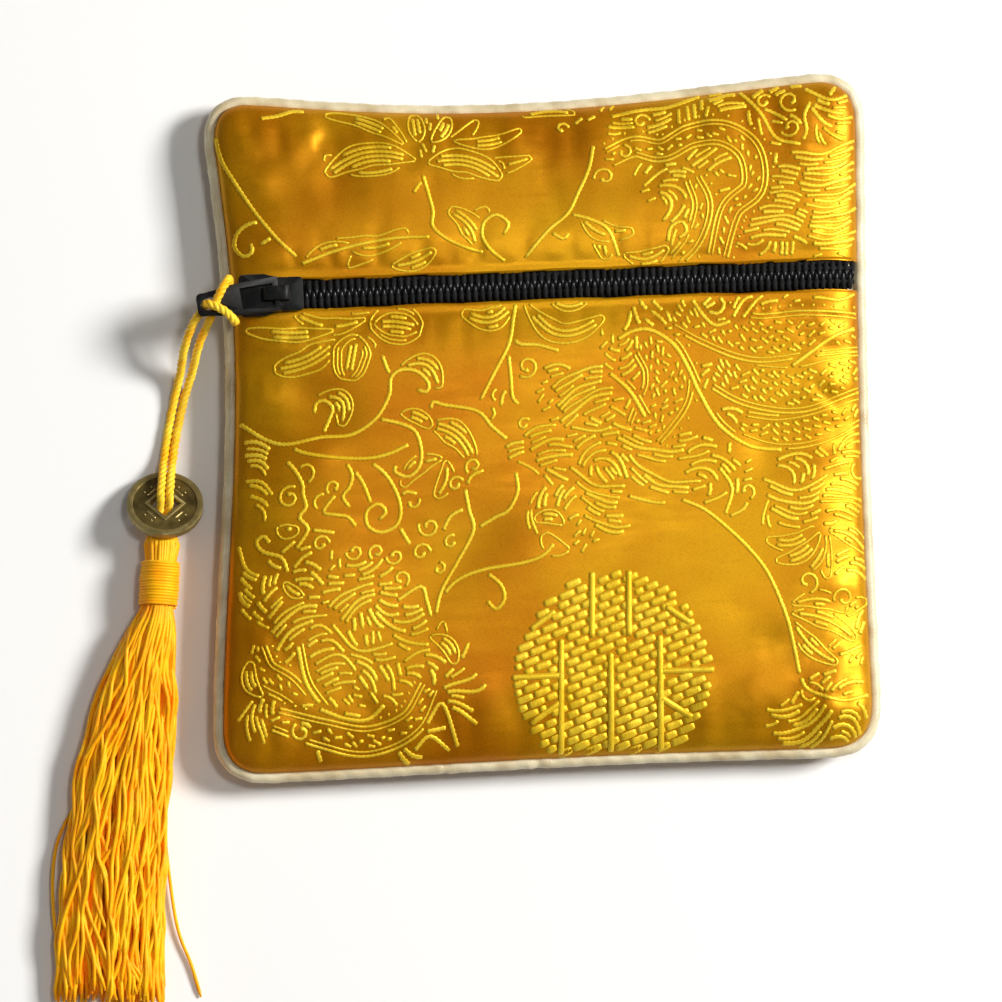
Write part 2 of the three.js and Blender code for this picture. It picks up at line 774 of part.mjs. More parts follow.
// The slider rides on the coils and follows the slope of the cloth under it
const sliderSeat = -coilProud - gap;
const seatAt = (x) => new THREE.Vector3(...settled(x, zipLine, frontHeight(x, zipLine, sliderSeat)));
const rearSeat = seatAt(sliderRear);
const seatSlope = rearSeat.clone().sub(seatAt(wedgeFront));
const sliderPitch = Math.atan2(seatSlope.z, seatSlope.x);
const halfLengthways = new THREE.Vector3(Math.cos(sliderPitch), 0, Math.sin(sliderPitch));
const sliderGroup = new THREE.Group();
sliderGroup.position.copy(rearSeat).addScaledVector(halfLengthways, -sliderLength / 2);
sliderGroup.rotation.y = -sliderPitch;
sliderGroup.add(piece('zip_slider', slider(), blackEnamel));

const pullGroup = new THREE.Group();
pullGroup.position.set(bridgePlace + pullBar / 2, 0, sliderPlate + gap);
pullGroup.rotation.z = Math.PI + radians(pullTurn);
pullGroup.add(piece('zip_pull', pull(), blackEnamel));
sliderGroup.add(pullGroup);
purse.add(sliderGroup);

const coinGroup = new THREE.Group();
const coinLift = (coinDiameter / 2) * Math.sin(radians(coinTilt)) + coinThickness / 2 + coinRelief;
coinGroup.position.set(coinPlace.x, coinPlace.y, coinLift + tableClearance);
coinGroup.rotation.x = -radians(coinTilt);
const coinPiece = piece('coin', coin(), brass);
coinPiece.rotation.z = radians(coinSpin);
coinGroup.add(coinPiece);
purse.add(coinGroup);

purse.add(piece('pull_cord', cord(), yellowSilk));

const tasselGroup = new THREE.Group();
tasselGroup.position.set(tasselTop.x, tasselTop.y, 0);
tasselGroup.rotation.z = -radians(tasselTurn);
tasselGroup.add(piece('tassel', tassel(), yellowSilk));
const binding = piece('tassel_binding', tasselBinding(), yellowSilk);
binding.position.set(0, -skirtStart, waistHeight);
tasselGroup.add(binding);
purse.add(tasselGroup);

export default purse;
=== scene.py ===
"""Looks of a small zip purse in gold silk brocade, with a cord, a coin and a silk tassel.

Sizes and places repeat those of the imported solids. The cloth and its woven pattern, the piping,
the zip's turns, the cord's strands and the tassel's threads are made here and stand for them.
Lengths are millimetres until a mesh is made. A mesh, a light and the camera are in metres."""
import math

import bpy
import numpy as np
from mathutils import Matrix, Vector


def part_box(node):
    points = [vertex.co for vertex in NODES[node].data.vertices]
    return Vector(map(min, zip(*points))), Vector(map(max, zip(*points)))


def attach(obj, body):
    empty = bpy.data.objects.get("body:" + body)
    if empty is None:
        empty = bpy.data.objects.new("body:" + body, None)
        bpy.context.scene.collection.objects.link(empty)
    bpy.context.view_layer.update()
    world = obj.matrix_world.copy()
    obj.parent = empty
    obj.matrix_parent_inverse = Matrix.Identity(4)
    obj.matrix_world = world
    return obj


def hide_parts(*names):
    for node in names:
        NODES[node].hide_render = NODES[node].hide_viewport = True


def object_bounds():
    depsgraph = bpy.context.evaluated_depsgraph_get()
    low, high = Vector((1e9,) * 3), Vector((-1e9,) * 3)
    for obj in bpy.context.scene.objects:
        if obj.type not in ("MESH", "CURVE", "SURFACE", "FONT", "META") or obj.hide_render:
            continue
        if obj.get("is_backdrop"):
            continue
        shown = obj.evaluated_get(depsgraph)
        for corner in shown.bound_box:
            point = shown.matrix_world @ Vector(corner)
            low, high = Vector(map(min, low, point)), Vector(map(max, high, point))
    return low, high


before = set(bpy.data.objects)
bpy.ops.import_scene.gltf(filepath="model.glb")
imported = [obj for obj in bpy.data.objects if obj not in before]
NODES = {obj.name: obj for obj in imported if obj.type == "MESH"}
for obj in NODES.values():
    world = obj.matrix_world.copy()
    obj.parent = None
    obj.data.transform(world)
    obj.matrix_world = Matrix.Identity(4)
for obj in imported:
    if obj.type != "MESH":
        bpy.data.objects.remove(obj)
CAD_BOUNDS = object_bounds()
MM = 0.001

def table(columns, rows):
    """Rows of a table as dictionaries with its named columns."""
    return [dict(zip(columns.split(), row)) for row in rows]


# The pouch, as the solids have it
GAP = 0.3
WIDTH = 115.6
LENGTH = 119.5
REACH = 11.5  # how far in from an edge its corners and its shoulder reach
CORNER_POWER = 3
LEAN = 2.8
SEAM_HEIGHT = 5.0
FRONT_RISE = 4.3
FRONT_CROWN = 2.2
FRONT_FULLNESS = 2.6
BACK_FULLNESS = 2
PIPING = 2.2
RIM_INSET = 1.5  # the cloth laps the inner side of the piping
BOW_POWER = 1.3
LEFT_BOW = {"depth": 3.6, "peak": 0.6}
RIGHT_BOW = {"depth": 0.9, "peak": 0.5}
TOP_BOW = {"depth": 4.0, "peak": 0.45}
BOTTOM_BOW = {"depth": 0.6, "peak": 0.6}
ZIP_DROP = 36.2
ZIP_LINE = LENGTH / 2 - ZIP_DROP
COIL_BAND = 4.4
COIL_PITCH = 1.25
COIL_END = 3.6
COIL_STEP = 0.24
COIL_SIDES = 8
COIL_CORE_RADIUS = 0.42
SLOT_HALF = COIL_BAND / 2 + GAP
SLOT_LOW = ZIP_LINE - SLOT_HALF
SLOT_HIGH = ZIP_LINE + SLOT_HALF
CLOTH_EDGE = LENGTH / 2 - RIM_INSET
TAPE_WIDTH = 7.5
TAPE_PARTING = 0.8
TAPE_THICKNESS = 0.6
TAPE_ROWS = 260
TAPE_COLUMNS = 18
SLIDER_END = -43.5  # left of it the tapes part as far as the slider opens them
SLIDER_OPENING = 0.6
SLIDER_EASE = 4
CLOTH = 0.9  # brocade and lining together
CLOTH_SPACING = 0.74
BACK_SPACING = 1.0
FOLDED_EDGE = 0.45  # radius of the cloth's fold beside the zip
PIPING_STEP = 0.5
PIPING_SIDES = 16
FLANGE_INSET = 0.85 * PIPING
FLANGE_REACH = 4
FLANGE_STEP = 0.42
FLANGE_HALF = 0.12  # half its thickness
BACK_LIFT = 0.25  # the back's cloth lies this far above the table, on its raised threads

# Soft dents of the front: shares of the width and length, and of the crown
DENTS = table("across up radius depth", [
    (0.14, 0.87, 0.09, 0.4),
    (0.09, 0.52, 0.07, 0.35),
    (0.3, 0.33, 0.1, 0.25),
    (0.52, 0.88, 0.1, 0.3),
    (0.86, 0.5, 0.11, 0.35),
    (0.62, 0.12, 0.12, 0.25),
])

# Soft folds of the front, each from one place to another, in shares of the width and length.
# Heights are in millimetres, and a dip is a negative height.
FOLDS = table("from to width height", [
    ((0.12, 0.99), (0.17, 0.84), 0.035, 0.36),
    ((0.2, 0.99), (0.19, 0.86), 0.032, -0.4),
    ((0.27, 0.98), (0.3, 0.9), 0.03, 0.3),
    ((0.58, 0.98), (0.6, 0.9), 0.03, 0.35),
    ((0.68, 0.98), (0.66, 0.88), 0.035, -0.4),
    ((0.86, 0.97), (0.83, 0.84), 0.04, -0.5),
    ((0.02, 0.62), (0.16, 0.52), 0.035, -0.45),
    ((0.03, 0.56), (0.14, 0.47), 0.04, 0.5),
    ((0.03, 0.34), (0.1, 0.3), 0.03, -0.4),
    ((0.98, 0.47), (0.84, 0.45), 0.04, -0.6),
    ((0.98, 0.55), (0.9, 0.53), 0.035, 0.4),
    ((0.98, 0.2), (0.9, 0.24), 0.03, -0.35),
    ((0.97, 0.08), (0.86, 0.09), 0.04, 0.6),
    ((0.88, 0.02), (0.84, 0.16), 0.03, -0.6),
    ((0.74, 0.02), (0.73, 0.1), 0.022, 0.35),
    ((0.69, 0.02), (0.68, 0.08), 0.018, -0.35),
    ((0.4, 0.02), (0.42, 0.1), 0.03, 0.3),
    ((0.5, 0.32), (0.72, 0.36), 0.09, 0.35),
    ((0.16, 0.12), (0.4, 0.34), 0.05, -0.3),
])

# Gathers along a seam: wavelength, height and phase of each wave
GATHERS = table("wave height phase", [
    (4.3, 0.07, 0.4),
    (7.1, 0.11, 2.1),
    (11.9, 0.12, 4.4),
])
GATHER_REACH = 2.6

# Slack of the front's cloth, which its simulation works out
SLACK_GRID = 72
SLACK_SCALE = 0.01  # the simulated sheet is about a metre wide
SLACK_SEWN = 0.6
SLACK_SHARE = 0.012
SLACK_PRESSURE = 1.5
SLACK_BENDING = 0.5
SLACK_STRETCH = 20
SLACK_FRAMES = 24
SLACK_CAP = 0.9

# Camera and photograph: the view's width and its middle at the seam's height
VIEW_WIDTH = 172.3
VIEW_MIDDLE = (-7.5, -12.9)
VIEW_TURN = math.radians(2.75)
CAMERA_LEAN = math.radians(7)
CAMERA_SIDE = math.radians(225)
CAMERA_AWAY = 1300
SENSOR = 36
PHOTO_PIXEL = 0.172  # millimetres of the purse that one pixel of the photograph shows
PHOTO_MIDDLE = (541, 423.75)  # the pixel where the photograph shows the purse's middle
SETTLING_ROUNDS = 12

# Square soft lights: power in watts, size and distance in metres, and where they shine from
LIGHTS = (
    {"name": "key", "power": 84, "size": 0.66, "toward": (1.0, 0.26, 0.78), "away": 2.4,
     "colour": (1, 0.985, 0.96)},
    {"name": "overhead", "power": 1.3, "size": 0.12, "toward": (0.118, 0.068, 1.0), "away": 0.85,
     "colour": (1, 0.99, 0.97)},
    {"name": "low_fill", "power": 1.0, "size": 1.0, "toward": (-1.0, -0.8, 0.7), "away": 1.8,
     "colour": (1, 1, 1)},
)
SKY_COLOUR = (1, 0.98, 0.95, 1)
SKY_STRENGTH = 0.155
FLOOR_HALF = 900
GOLD_TINT = (1.0, 0.8, 0.3, 1)  # of the silk's shine

# The cord's route, as in the solids
CORD_DIAMETER = 1.3
CORD_STEP = 0.22
CORD_STRANDS = 3
STRAND_RADIUS = 0.31 * CORD_DIAMETER
STRAND_SIDES = 9
TWIST_LENGTH = 3.1  # along which a strand goes once round
CORD_LIFT = 0.08  # the soft yarns keep the cord's middle this far higher
YARN_LOFT = 0.14  # the soft yarns stand this far proud of the cord's firm width
CORD_ROUTE = (
    (-66.3, -13.7, 3.7), (-66.1, -12.6, 3.35), (-65.95, -11.5, 3.75), (-65.9, -10.3, 4.65),
    (-65.8, -9.0, 4.9), (-65.4, -6.4, 3.5), (-64.9, -3.2, 1.4), (-64.1, 1.2, 0.75),
    (-62.7, 7.2, 1.0), (-61.6, 11.4, 2.8), (-60.9, 15.2, 6.8), (-59.4, 19.0, 9.5),
    (-57.6, 21.5, 10.2), (-57.1, 22.2, 11.7), (-56.6, 22.2, 13.1), (-54.4, 21.1, 13.6),
    (-52.8, 19.7, 13.3), (-52.2, 19.0, 12.2), (-52.3, 19.9, 10.9), (-52.5, 22.7, 10.5),
    (-52.8, 25.5, 10.9), (-52.9, 26.4, 12.2), (-53.4, 25.8, 13.3), (-54.5, 24.2, 13.6),
    (-55.3, 22.6, 13.1), (-55.4, 22.4, 11.8), (-55.6, 21.6, 10.2), (-56.6, 19.4, 9.2),
    (-58.3, 15.9, 6.9), (-59.5, 11.6, 2.9), (-60.9, 7.4, 1.0), (-62.5, 1.4, 0.75),
    (-63.4, -3.1, 1.4), (-63.9, -6.2, 3.5), (-64.3, -8.9, 4.9), (-64.45, -10.2, 4.65),
    (-64.5, -11.4, 3.75), (-64.65, -12.5, 3.35), (-64.9, -13.6, 3.7),
)

# Coin and tassel
COIN_THICKNESS = 0.9
COIN_MARK_RADIUS = 0.17
COIN_MIDDLE = (-65.2, -11.2, 4.03)
COIN_TILT = math.radians(30)
COIN_SPIN = math.radians(42)
TASSEL_TOP = (-65.6, -14.0)
TASSEL_TURN = math.radians(6.2)
TASSEL_LENGTH = 83.4
TASSEL_WIDTH = 19.0
TASSEL_HEIGHT = 6.6
TASSEL_WAIST = 5.4
TASSEL_DRIFT = -4.4
WAIST_HEIGHT = 3.7
BINDING_START = 6.8
BINDING_LENGTH = 8.0
BINDING_THREAD = 0.55
BINDING_PITCH = 0.94 * BINDING_THREAD
BINDING_PROUD = 0.36  # the winding's middle stands this far out from the waist
BINDING_STEPS = 30  # points on one turn of its thread
BINDING_SIDES = 8
TASSEL_THREADS = 220
THREAD_POINTS = 44
THREAD_RADIUS = 0.38
CORE_THREAD_RADIUS = 0.42
STRAY_RADIUS = 0.3
THREAD_SIDES = 6
THREAD_CLEARANCE = 0.12

# Chances of the tassel's threads, each from the least to the most
CORE_ZONE = (0.0, 0.6)
SKIN_ZONE = (0.55, 1.0)
THREAD_START = (0.0, 0.012)
LONG_THREAD = (0.955, 1.0)
SHORT_THREAD = (0.82, 0.95)
THREAD_SWAY = 0.42  # usual spread of a thread's sway, not a least and a most
SWAY_TURNS = (1.2, 3.4)
CRIMP = (0.1, 0.34)
CRIMP_TURNS = (26, 60)

# Woven pattern: widths of its threads, their height over the cloth and the places between them
STITCH = 0.42  # half the length of one bead of a woven line
FINE = 0.52
STEM = 0.9
TENDRIL = 0.72
FILL = 1.0
SCALE = 0.74
RELIEF = 0.14
SEAM_CLEARANCE = 0.35
FOLD_CLEARANCE = 0.7
BAR_CLEARANCE = 0.62
THICKET_ROW = 0.55
DASH_ROW = 0.9
DASH_PITCH = 2.2
BRICK_PITCH = 3.2
BRICK_LENGTH = 2.95
BRICK_SHIFT = 1.5
BRICK_SLANT = math.radians(20)
MEDALLION_MARGIN = 0.5
WIDE_BLADE = 6  # a wider leaf or petal has three contours, a narrower one has one
BLADE_STEP = 0.25
LOCK_POINTS = 26
SCALE_PITCH = 0.95  # along a scaled body
SCALE_ROW = 0.86  # across it
STRAND = 1.0  # from one lock of a mane or feather to the next
CONTOUR = 0.72  # from one contour of a petal to the next
SATIN_ROW = 0.88  # from one satin stroke of a petal to the next
CELL = 0.2  # grid on which the strokes of a panel are kept apart
APART = 0.24  # bare ground from a stroke's side to the middle of the next one
SPREAD = 4  # cells to each side that a stroke can take
SHORTEST_RUN = 6  # points of the shortest piece of a cut stroke that is kept
BRICK_ROW = 1.4
SATIN_BAND = 1.05  # a stroke wider than this lies smooth, a narrower one is beaded


# The pouch's form, as the solids have it

def drawn_in(along, bow):
    turn = math.log(0.5) / math.log(bow["peak"])
    return bow["depth"] * np.sin(np.pi * np.clip(along, 0, 1) ** turn).clip(0) ** BOW_POWER


def settled(x, y):
    """Where a place on the flat pattern lies once the purse is sewn."""
    across = x / WIDTH + 0.5
    up = y / LENGTH + 0.5
    over = np.clip((y - ZIP_LINE) / ZIP_DROP, 0, 1)
    under = np.clip((ZIP_LINE - y) / (LENGTH - ZIP_DROP), 0, 1)
    from_sides = drawn_in(up, LEFT_BOW) * (1 - across) - drawn_in(up, RIGHT_BOW) * across
    from_ends = drawn_in(across, BOTTOM_BOW) * under - drawn_in(across, TOP_BOW) * over
    return x + LEAN * y / LENGTH + from_sides, y + from_ends


def from_photo(places):
    """Where places in the photograph's pixels lie on the flat pattern, to a tenth of a millimetre."""
    across, down = PHOTO_PIXEL * (np.asarray(places, float) - PHOTO_MIDDLE).T
    seen_x = across * math.cos(VIEW_TURN) - down * math.sin(VIEW_TURN)
    seen_y = -across * math.sin(VIEW_TURN) - down * math.cos(VIEW_TURN)
    x, y = seen_x, seen_y
    for _ in range(SETTLING_ROUNDS):
        settled_x, settled_y = settled(x, y)
        x, y = x + seen_x - settled_x, y + seen_y - settled_y
    return np.round(np.stack([x, y], -1), 1)


def sewn(x, y, height):
    """Points over the flat pattern, where they lie once the purse is sewn."""
    return np.stack(np.broadcast_arrays(*settled(x, y), height), -1)


def near_edge(x, y, inset):
    """0 over the flat middle, rising to 1 on the outline that lies the inset in from the edge."""
    reach = REACH - inset
    sideways = np.maximum(0, 1 - (WIDTH / 2 - inset - np.abs(x)) / reach)
    lengthways = np.maximum(0, 1 - (LENGTH / 2 - inset - np.abs(y)) / reach)
    both = sideways**CORNER_POWER + lengthways**CORNER_POWER
    return np.minimum(1, both ** (1 / CORNER_POWER))


def shoulder(near, fullness):
    return (1 - near**fullness) ** (1 / fullness)


def half_width(y, inset):
    """Half the width of the outline at a row."""
    reach = REACH - inset
    lengthways = np.maximum(0, 1 - (LENGTH / 2 - inset - np.abs(y)) / reach)
    sideways = np.maximum(0, 1 - lengthways**CORNER_POWER) ** (1 / CORNER_POWER)
    return WIDTH / 2 - inset - reach * (1 - sideways)


def dent_at(x, y):
    depth = 0
    for dent in DENTS:
        sideways = x / WIDTH + 0.5 - dent["across"]
        lengthways = y / LENGTH + 0.5 - dent["up"]
        away = np.hypot(sideways, lengthways) / dent["radius"]
        depth = depth + FRONT_CROWN * dent["depth"] * np.exp(-away * away)
    return depth


def away_from(x, y, start, end):
    """Distance from a straight line between two places."""
    line = end - start
    share = np.clip(((x - start[0]) * line[0] + (y - start[1]) * line[1]) / (line @ line), 0, 1)
    return np.hypot(x - start[0] - share * line[0], y - start[1] - share * line[1])


def fold_at(x, y):
    """Height of the soft folds: each is a ridge or a dip along a short line."""
    height = 0
    across = x / WIDTH + 0.5
    up = y / LENGTH + 0.5
    for fold in FOLDS:
        away = away_from(across, up, np.array(fold["from"]), np.array(fold["to"]))
        height = height + fold["height"] * np.exp(-((away / fold["width"]) ** 2))
    return height


def gather_at(x, y):
    """Small gathers along the seam, which fade out over the cloth."""
    from_side = np.maximum(0, WIDTH / 2 - RIM_INSET - np.abs(x)) / GATHER_REACH
    from_end = np.maximum(0, LENGTH / 2 - RIM_INSET - np.abs(y)) / GATHER_REACH
    side_fade = from_side * np.exp(1 - from_side)
    end_fade = from_end * np.exp(1 - from_end)
    height = 0
    for gather in GATHERS:
        turn = 2 * np.pi / gather["wave"]
        along_side = np.sin(turn * y + gather["phase"] + np.sign(x))
        along_end = np.sin(turn * x + gather["phase"] * 2 + np.sign(y))
        height = height + gather["height"] * (along_side * side_fade + along_end * end_fade)
    return height


def front_surface(x, y, depth=0.0):
    """Height of the layer that lies a depth under the front's outer face."""
    across = 2 * x / WIDTH
    up = 2 * y / LENGTH
    bulge = FRONT_CROWN * np.maximum(0, 1 - across**2) * np.maximum(0, 1 - up**2)
    near = near_edge(x, y, RIM_INSET + depth)
    soft = fold_at(x, y) + gather_at(x, y) + slack_at(x, y)
    rise = FRONT_RISE + bulge - dent_at(x, y) + soft - depth
    return SEAM_HEIGHT + GAP / 2 + rise * shoulder(near, FRONT_FULLNESS)


def back_surface(x, y, depth=0.0):
    """Height of the layer that lies a depth inside the back's outer face."""
    near = near_edge(x, y, RIM_INSET + depth)
    rise = SEAM_HEIGHT - GAP / 2 - depth - BACK_LIFT
    lifted = 1 - shoulder(near, BACK_FULLNESS)
    return BACK_LIFT + depth + rise * lifted + 0.6 * gather_at(x, y) * lifted


SLACK = {"grid": None}


def slack_at(x, y):
    """Height that the cloth simulation adds to the front, from its grid over the pattern."""
    grid = SLACK["grid"]
    if grid is None:
        return 0.0
    rows, columns = grid.shape
    column = np.clip((np.asarray(x) / WIDTH + 0.5) * (columns - 1), 0, columns - 1.001)
    row = np.clip((np.asarray(y) / LENGTH + 0.5) * (rows - 1), 0, rows - 1.001)
    i = row.astype(int)
    j = column.astype(int)
    v = row - i
    u = column - j
    low = grid[i, j] * (1 - u) + grid[i, j + 1] * u
    high = grid[i + 1, j] * (1 - u) + grid[i + 1, j + 1] * u
    return low * (1 - v) + high * v


# Nodes of the materials

def new_material(name, colour, roughness, metallic=0.0, **sockets):
    material = bpy.data.materials.new(name)
    material.use_nodes = True
    shader = material.node_tree.nodes["Principled BSDF"]
    shader.inputs["Base Color"].default_value = (*colour, 1)
    shader.inputs["Roughness"].default_value = roughness
    shader.inputs["Metallic"].default_value = metallic
    for socket, value in sockets.items():
        shader.inputs[socket.replace("_", " ")].default_value = value
    return material


def shader_of(material):
    return material.node_tree.nodes["Principled BSDF"]


def place(material, scale=(1, 1, 1), turn=0.0, source="Object"):
    """Coordinates in metres, turned about Z and stretched."""
    tree = material.node_tree
    coordinates = tree.nodes.new("ShaderNodeTexCoord")
    mapping = tree.nodes.new("ShaderNodeMapping")
    mapping.inputs["Rotation"].default_value = (0, 0, turn)
    mapping.inputs["Scale"].default_value = scale
    tree.links.new(coordinates.outputs[source], mapping.inputs["Vector"])
    return mapping.outputs["Vector"]


def noise(material, vector, period, detail=2.0, rough=0.5):
    node = material.node_tree.nodes.new("ShaderNodeTexNoise")
    node.inputs["Scale"].default_value = 1 / (period * MM)
    node.inputs["Detail"].default_value = detail
    node.inputs["Roughness"].default_value = rough
    material.node_tree.links.new(vector, node.inputs["Vector"])
    return node.outputs["Fac"]


def stripes(material, vector, period, ragged=0.0):
    """Straight waves across the vector's X, a period apart."""
    node = material.node_tree.nodes.new("ShaderNodeTexWave")
    node.wave_type = "BANDS"
    node.bands_direction = "X"
    node.inputs["Scale"].default_value = math.pi / 10 / (period * MM)
    node.inputs["Distortion"].default_value = ragged
    node.inputs["Detail"].default_value = 1.0
    node.inputs["Detail Scale"].default_value = 1.0
    material.node_tree.links.new(vector, node.inputs["Vector"])
    return node.outputs["Fac"]


def grey(value):
    return (value, value, value)


def ramp(material, value, *stops):
    """Colours at their places along a value."""
    node = material.node_tree.nodes.new("ShaderNodeValToRGB")
    elements = node.color_ramp.elements
    while len(elements) < len(stops):
        elements.new(0.5)
    for element, (where, colour) in zip(elements, stops):
        element.position = where
        element.color = (*colour, 1)
    material.node_tree.links.new(value, node.inputs["Fac"])
    return node.outputs["Color"]


def mixed(material, share, a, b, kind="MIX"):
    """Two colours or values mixed by a value, or by a number."""
    node = material.node_tree.nodes.new("ShaderNodeMix")
    node.data_type = "RGBA"
    node.blend_type = kind
    links = material.node_tree.links
    for socket, value in ((node.inputs[0], share), (node.inputs[6], a), (node.inputs[7], b)):
        if isinstance(value, bpy.types.NodeSocket):
            links.new(value, socket)
        elif isinstance(value, tuple):
            socket.default_value = (*value, 1)
        else:
            socket.default_value = value
    return node.outputs[2]


def sum_of(material, *terms):
    """Values added up, each times its weight."""
    tree = material.node_tree
    total = None
    for value, weight in terms:
        node = tree.nodes.new("ShaderNodeMath")
        node.operation = "MULTIPLY_ADD"
        tree.links.new(value, node.inputs[0])
        node.inputs[1].default_value = weight
        if total is None:
            node.inputs[2].default_value = 0
        else:
            tree.links.new(total, node.inputs[2])
        total = node.outputs[0]
    return total


def arithmetic(material, operation, value, number=0.0):
    node = material.node_tree.nodes.new("ShaderNodeMath")
    node.operation = operation
    node.inputs[1].default_value = number
    material.node_tree.links.new(value, node.inputs[0])
    return node.outputs[0]


def rubbed(material, skin, bare, low, high):
    """The skin's colour, and the bare one's along edges that stand proud."""
    edge = material.node_tree.nodes.new("ShaderNodeNewGeometry").outputs["Pointiness"]
    share = ramp(material, edge, (low, grey(0.0)), (high, grey(1.0)))
    return mixed(material, share, skin, bare)


def bumped(material, height, depth):
    """Relief of a depth in millimetres, from a value between 0 and 1."""
    node = material.node_tree.nodes.new("ShaderNodeBump")
    node.inputs["Distance"].default_value = depth * MM
    material.node_tree.links.new(height, node.inputs["Height"])
    material.node_tree.links.new(node.outputs["Normal"], shader_of(material).inputs["Normal"])


def coloured(material, colour, socket="Base Color"):
    material.node_tree.links.new(colour, shader_of(material).inputs[socket])


# Materials

def gold_satin():
    """Warp-faced silk: a faint slanted twill, a speckle of weft, and slow yellower patches in its
    colour, which are partly its own uneven tone and partly painted sheen.
    """
    material = new_material("gold_satin", (0.7, 0.3, 0.006), 0.42, 0.45, Anisotropic=0.2,
                            Specular_IOR_Level=0.35, Specular_Tint=GOLD_TINT)
    plain = place(material)
    twill = stripes(material, place(material, turn=math.radians(-52)), 0.42, 0.8)
    slub = noise(material, place(material, scale=(0.16, 1, 1)), 1.1, 3.0)
    cloudy = noise(material, plain, 24.0, 2.0)
    speckle = noise(material, plain, 0.33, 2.0, 0.8)
    # Slow colour patches from deep orange to yellow: partly the cloth's own uneven tone, partly painted
    # sheen where the satin would catch the light.
    tone_and_painted_sheen = ramp(material, cloudy, (0.34, (0.43, 0.142, 0.0003)), (0.68, (0.54, 0.265, 0.003)))
    threads = ramp(material, sum_of(material, (twill, 0.1), (speckle, 0.9)),
                   (0.34, (0.6, 0.46, 0.3)), (0.56, grey(1.0)))
    coloured(material, mixed(material, 0.45, tone_and_painted_sheen, threads, "MULTIPLY"))
    shine = ramp(material, slub, (0.3, grey(0.34)), (0.75, grey(0.48)))
    coloured(material, shine, "Roughness")
    bumped(material, sum_of(material, (twill, 0.15), (speckle, 0.5), (slub, 0.3)), 0.016)
    return material


def raised_silk():
    """The pattern's bright yellow weft, beaded along its length."""
    material = new_material("raised_silk", (0.95, 0.66, 0.06), 0.42, 0.3,
                            Specular_IOR_Level=0.5, Specular_Tint=GOLD_TINT)
    fibres = noise(material, place(material, scale=(1, 0.35, 1), turn=0.4), 0.3, 2.0, 0.7)
    cloudy = noise(material, place(material), 9.0)
    bright = ramp(material, cloudy, (0.3, (0.74, 0.47, 0.012)), (0.7, (0.86, 0.61, 0.035)))
    dark = ramp(material, fibres, (0.25, (0.6, 0.42, 0.25)), (0.55, grey(1.0)))
    coloured(material, mixed(material, 0.55, bright, dark, "MULTIPLY"))
    bumped(material, fibres, 0.05)
    return material


def cream_satin():
    material = new_material("cream_satin", (0.5, 0.4, 0.22), 0.34, 0.0)
    slant = stripes(material, place(material, turn=math.radians(40)), 0.42, 1.5)
    grime = noise(material, place(material), 6.0, 4.0)
    colour = ramp(material, grime, (0.3, (0.5, 0.39, 0.21)), (0.65, (0.72, 0.64, 0.43)))
    coloured(material, colour)
    grain = noise(material, place(material), 0.4, 2.0)
    bumped(material, sum_of(material, (slant, 0.6), (grain, 0.4)), 0.05)
    return material


def black_tape():
    material = new_material("black_tape", (0.012, 0.012, 0.013), 0.75, 0.0, Sheen_Weight=0.25)
    rib = stripes(material, place(material), 0.5, 0.3)
    fuzz = noise(material, place(material), 0.3, 3.0)
    coloured(material, ramp(material, fuzz, (0.3, (0.006, 0.006, 0.007)), (0.8, (0.03, 0.03, 0.032))))
    bumped(material, sum_of(material, (rib, 0.7), (fuzz, 0.3)), 0.08)
    return material


def black_nylon():
    """Matt black turns, worn shiny along the middle where the slider runs."""
    material = new_material("black_nylon", (0.006, 0.006, 0.007), 0.6, 0.0, Specular_IOR_Level=0.2)
    wear = noise(material, place(material), 1.6, 3.0)
    coloured(material, ramp(material, wear, (0.35, grey(0.003)), (0.8, (0.014, 0.014, 0.015))))
    tree = material.node_tree
    apart = tree.nodes.new("ShaderNodeSeparateXYZ")
    tree.links.new(place(material), apart.inputs[0])
    beside = arithmetic(material, "SUBTRACT", apart.outputs["Y"], ZIP_LINE * MM)
    band = tree.nodes.new("ShaderNodeMapRange")
    band.interpolation_type = "SMOOTHSTEP"
    tree.links.new(arithmetic(material, "ABSOLUTE", beside), band.inputs["Value"])
    limits = {"From Min": 0.3 * MM, "From Max": 0.8 * MM, "To Min": 0.2, "To Max": 0.82}
    for socket, value in limits.items():
        band.inputs[socket].default_value = value
    coloured(material, band.outputs[0], "Roughness")
    bumped(material, noise(material, place(material), 0.25, 2.0), 0.02)
    return material


def black_enamel():
    """Painted metal with an orange-peel skin, rubbed a little bare in spots."""
    material = new_material("black_enamel", (0.005, 0.005, 0.006), 0.4, 0.0, Specular_IOR_Level=0.22)
    peel = noise(material, place(material), 0.7, 3.0, 0.6)
    spots = noise(material, place(material), 2.2, 4.0, 0.6)
    skin = ramp(material, spots, (0.5, grey(0.003)), (0.8, (0.014, 0.013, 0.013)))
    coloured(material, rubbed(material, skin, grey(0.05), 0.55, 0.64))
    gloss = ramp(material, spots, (0.3, grey(0.36)), (0.7, grey(0.55)))
    coloured(material, gloss, "Roughness")
    bumped(material, peel, 0.05)
    return material


def yellow_silk(name, pale, deep):
    """Tassel and cord silk: fine fibres along the thread and slow changes of its yellow."""
    material = new_material(name, pale, 0.42, 0.0, Specular_IOR_Level=0.4, Specular_Tint=GOLD_TINT,
                            Sheen_Weight=0.4, Sheen_Tint=(1.0, 0.6, 0.08, 1))
    slow = noise(material, place(material), 4.0, 2.0)
    fibres = noise(material, place(material, scale=(1, 0.25, 1)), 0.22, 2.0, 0.7)
    shade = ramp(material, slow, (0.32, deep), (0.62, pale))
    dark = ramp(material, fibres, (0.25, (0.95, 0.72, 0.5)), (0.5, grey(1.0)))
    coloured(material, mixed(material, 0.6, shade, dark, "MULTIPLY"))
    bumped(material, fibres, 0.05)
    return material


